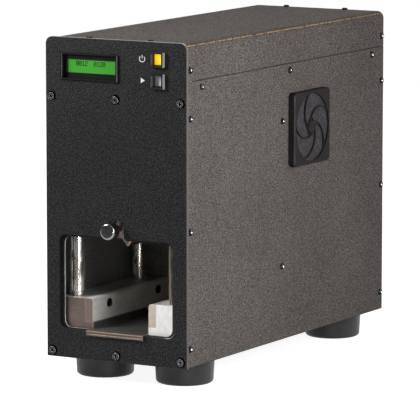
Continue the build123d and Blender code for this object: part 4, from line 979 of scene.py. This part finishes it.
class CRUSHER_OT_lead_screw(bpy.types.Operator):
    """Cut the thread of the lead screw"""

    bl_idname = "crusher.lead_screw"
    bl_label = "Lead screw"

    def execute(self, context):
        detail = context.scene.crusher_detail
        low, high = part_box("lead_screw")
        middle, length = (low + high) / 2, high.z - low.z
        crest = (high.x - low.x) / 2
        shape, rings, sides, rows_per_pitch = bmesh.new(), [], 48, 4
        root_share, steepness = 0.1875, 8
        rows = ceil(length / detail.thread_pitch) * rows_per_pitch
        for row in range(rows + 1):
            ring = []
            height = low.z + length * row / rows
            for step in range(sides):
                turn = 2 * pi * step / sides
                phase = ((height - low.z) / detail.thread_pitch - detail.thread_starts * step / sides) % 1
                flank = min(max((abs(phase - 0.5) - root_share) * steepness, 0), 1)
                cut = 0 if row in (0, rows) else detail.thread_depth * (1 - flank)
                radius = crest - cut
                across, along = middle.x + radius * cos(turn), middle.y + radius * sin(turn)
                ring.append(shape.verts.new((across, along, height)))
            rings.append(ring)
        for below, above in zip(rings, rings[1:]):
            bridge(shape, below, above)
        shape.faces.new(reversed(rings[0]))
        shape.faces.new(rings[-1])
        steel = metal("screw_steel", (0.55, 0.54, 0.52), (0.3, 0.27, 0.24), (1, 1, 0.2), amount=0.5,
                      roughness=0.25)
        piece = mesh_piece("lead_screw_thread", shape, steel, "ram")
        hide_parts("lead_screw")
        return {"FINISHED"}


class CRUSHER_OT_door(bpy.types.Operator):
    """Finish the sliding door and its knob"""

    bl_idname = "crusher.door"
    bl_label = "Door"

    def execute(self, context):
        dress(clear_sheet(), "door_panel")
        chrome = metal("dark_chrome", (0.25, 0.25, 0.25), (0.19, 0.185, 0.185), evenly, amount=0.3,
                       roughness=0.16, scale=60.0, bump=0.0, edge=0.0012)
        dress(chrome, "door_knob")
        return {"FINISHED"}


class CRUSHER_OT_controls(bpy.types.Operator):
    """Finish the display and the push buttons, and print their marks"""

    bl_idname = "crusher.controls"
    bl_label = "Controls"

    def execute(self, context):
        finish = context.scene.crusher_finish
        detail = context.scene.crusher_detail
        trim = moulded("trim_black", (0.013, 0.013, 0.014), (0.03, 0.03, 0.031), 1600.0, 0.35)
        dress(trim, "fan_frame", "fan_rotor", "power_entry", "power_rocker")
        # The guards' side walls get a painted reflection
        guard = moulded("guard_black", (0.008, 0.008, 0.009), (0.014, 0.014, 0.015), 1600.0, 0.45, gloss=0.15,
                        bare_and_sheen=guard_wall_reflection, bare_and_sheen_colour=(0.45, 0.44, 0.43))
        dress(guard, "power_button_housing", "start_button_housing")
        # The display frame's side walls near its front get a painted reflection
        bezel = moulded("bezel_black", (0.006, 0.006, 0.007), (0.01, 0.01, 0.011), 1600.0, 0.45, gloss=0.1,
                        bare_and_sheen=display_lip_reflection)
        dress(bezel, "display_frame", "display_module")
        low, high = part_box("display_window")
        dim = [level * 0.85 for level in finish.window_green]
        window = glow_material("window_green", (low + high) / 2, (high.x - low.x) * 0.6, finish.window_green,
                               dim, strength=0.6, ends=(low.x, high.x))
        dress(window, "display_window")
        cap = middle_of("power_button_cap")
        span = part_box("power_button_cap")[1].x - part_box("power_button_cap")[0].x
        lamp = cap + Vector((span * 0.1, -span * 0.3, 0))
        lit = glow_material("lens_amber", lamp, span * 0.75, finish.lens_yellow, finish.lens_amber,
                            strength=1.0)
        dress(lit, "power_button_cap")
        dress(moulded("lens_grey", finish.lens_grey, (0.95, 0.93, 0.92), 700.0, 0.35), "start_button_cap")
        board = moulded("board_green", (0.02, 0.12, 0.05), (0.05, 0.2, 0.09), 400.0, 0.5)
        dress(board, "display_board", "control_board")
        self.make_display_cells(detail, low, high)
        self.make_button_marks(detail)
        return {"FINISHED"}

    def make_display_cells(self, detail, low, high):
        """Plain digits of a counter in the upper of the display's two rows."""
        shape = bmesh.new()
        columns, dots_across, dots_up = 16, 5, 7
        pitch = (high.x - low.x) / (columns + 1)
        dot_x, dot_z = detail.cell_width / dots_across, detail.cell_height / dots_up
        face = low.y - detail.mark_relief
        foot = low.z + (high.z - low.z) * 0.72 - detail.cell_height / 2
        rows_of = {
            "0": ("01110", "10001", "10011", "10101", "11001", "10001", "01110"),
            "1": ("00100", "01100", "00100", "00100", "00100", "00100", "01110"),
            "2": ("01110", "10001", "00001", "00110", "01000", "10000", "11111"),
        }
        for column, digit in zip((3, 4, 5, 6, 9, 10, 11, 12), "00120120"):
            left = low.x + pitch * (column + 0.25)
            for down, dots in enumerate(rows_of[digit]):
                for across in (number for number, dot in enumerate(dots) if dot == "1"):
                    up = dots_up - 1 - down
                    corner = Vector((left + across * dot_x, face, foot + up * dot_z))
                    block(shape, corner, corner + Vector((dot_x, detail.mark_relief, dot_z)), dot_x * 0.02)
        ink = moulded("display_ink", (0.002, 0.012, 0.002), (0.003, 0.015, 0.003), 2000.0, 0.6, gloss=0.1)
        mesh_piece("display_cells", shape, ink, "frame")

    def make_button_marks(self, detail):
        """A plain power sign and a plain start sign beside the buttons."""
        ink = moulded("mark_ink", (0.75, 0.75, 0.74), (0.7, 0.7, 0.7), 2000.0, 0.5)
        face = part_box("front_panel")[0].y
        away, radius, stroke = 0.02, 0.0034, 0.0009
        for node, sign in (("power_button_cap", "power"), ("start_button_cap", "start")):
            middle = middle_of(node)
            centre = Vector((middle.x - away, face, middle.z))
            shape = bmesh.new()
            if sign == "power":
                self.add_ring(shape, centre, radius, stroke, detail.mark_relief, start=40, end=320)
                block(shape, centre + Vector((-stroke / 2, -detail.mark_relief, radius * 0.1)),
                      centre + Vector((stroke / 2, 0, radius * 1.25)), stroke * 0.1)
            else:
                self.add_triangle(shape, centre, radius, detail.mark_relief)
            mesh_piece(f"{sign}_mark", shape, ink, "frame")

    def add_ring(self, shape, centre, radius, stroke, relief, start, end, steps=28):
        """Add an open ring, from one angle to another, clockwise from the top."""
        rows = []
        for step in range(steps + 1):
            turn = radians(start + (end - start) * step / steps)
            along = Vector((sin(turn), 0, cos(turn)))
            rows.append([shape.verts.new(centre + along * (radius + side * stroke / 2) + Vector((0, -lift, 0)))
                         for side, lift in ((-1, 0), (1, 0), (1, relief), (-1, relief))])
        for before, after in zip(rows, rows[1:]):
            bridge(shape, before, after)
        shape.faces.new(rows[0])
        shape.faces.new(reversed(rows[-1]))

    def add_triangle(self, shape, centre, radius, relief):
        """Add a triangle that points right."""
        turns = [radians(degrees) for degrees in (0, 120, 240)]
        corners = [centre + radius * Vector((cos(turn), 0, sin(turn))) for turn in turns]
        back = [shape.verts.new(corner) for corner in corners]
        face = [shape.verts.new(corner + Vector((0, -relief, 0))) for corner in corners]
        shape.faces.new(back)
        shape.faces.new(reversed(face))
        bridge(shape, back, face)


class CRUSHER_OT_filter(bpy.types.Operator):
    """Finish the fan's filter cover and make its foam"""

    bl_idname = "crusher.filter"
    bl_label = "Filter"

    def execute(self, context):
        detail = context.scene.crusher_detail
        # The cover's front chamfers get a painted highlight
        shell = moulded("cover_plastic", (0.02, 0.0165, 0.0175), (0.027, 0.0235, 0.0245), 1600.0, 0.6,
                        gloss=0.03, bare_and_sheen=chamfer_highlight, bare_and_sheen_colour=(0.04, 0.039, 0.039))
        dress(shell, "fan_cover")
        low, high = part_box("filter_foam")
        shape, rows, lumps_per_metre = bmesh.new(), [], 420
        count = ceil((high.y - low.y) / detail.foam_step)
        for up in range(count + 1):
            row = []
            for back in range(count + 1):
                y = low.y + (high.y - low.y) * back / count
                z = low.z + (high.z - low.z) * up / count
                lump = noise.noise(Vector((0, y, z)) * lumps_per_metre + seed_offset) * 0.5 + 0.5
                rim = 0 if up in (0, count) or back in (0, count) else 1
                row.append(shape.verts.new((high.x - detail.foam_relief * lump * rim, y, z)))
            rows.append(row)
        for below, above in zip(rows, rows[1:]):
            for back in range(count):
                shape.faces.new((below[back], below[back + 1], above[back + 1], above[back]))
        rim = [edge for edge in shape.edges if edge.is_boundary]
        walls = bmesh.ops.extrude_edge_only(shape, edges=rim)["geom"]
        for vertex in (part for part in walls if isinstance(part, bmesh.types.BMVert)):
            vertex.co.x = low.x
        bmesh.ops.holes_fill(shape, edges=[edge for edge in shape.edges if edge.is_boundary], sides=0)
        foam = mesh_piece("foam_pad", shape, foam_material(context.scene.crusher_finish), "frame")
        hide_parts("filter_foam")
        return {"FINISHED"}


class CRUSHER_PT_panel(bpy.types.Panel):
    """Buttons that make each group of pieces"""

    bl_label = "Crusher"
    bl_idname = "CRUSHER_PT_panel"
    bl_space_type = "VIEW_3D"
    bl_region_type = "UI"
    bl_category = "Crusher"

    def draw(self, context):
        for operator in operators:
            self.layout.operator(operator.bl_idname)
        for name in settings_groups:
            box = self.layout.box()
            settings = getattr(context.scene, name)
            for label in settings_groups[name].__annotations__:
                box.prop(settings, label)


settings_groups = {
    "crusher_finish": CrusherFinish,
    "crusher_detail": CrusherDetail,
    "crusher_stage": CrusherStage,
}
operators = (
    CRUSHER_OT_stage,
    CRUSHER_OT_case,
    CRUSHER_OT_press,
    CRUSHER_OT_lead_screw,
    CRUSHER_OT_door,
    CRUSHER_OT_controls,
    CRUSHER_OT_filter,
)


def register():
    """Register the settings, the operators and the panel."""
    for name, kind in settings_groups.items():
        bpy.utils.register_class(kind)
        setattr(bpy.types.Scene, name, bpy.props.PointerProperty(type=kind))
    for kind in (*operators, CRUSHER_PT_panel):
        bpy.utils.register_class(kind)


def unregister():
    """Remove what register() added."""
    for kind in (CRUSHER_PT_panel, *reversed(operators)):
        bpy.utils.unregister_class(kind)
    for name, kind in settings_groups.items():
        delattr(bpy.types.Scene, name)
        bpy.utils.unregister_class(kind)


def main():
    """Make every piece."""
    register()
    for operator in operators:
        group, name = operator.bl_idname.split(".")
        getattr(getattr(bpy.ops, group), name)()


if __name__ == "__main__":
    main()
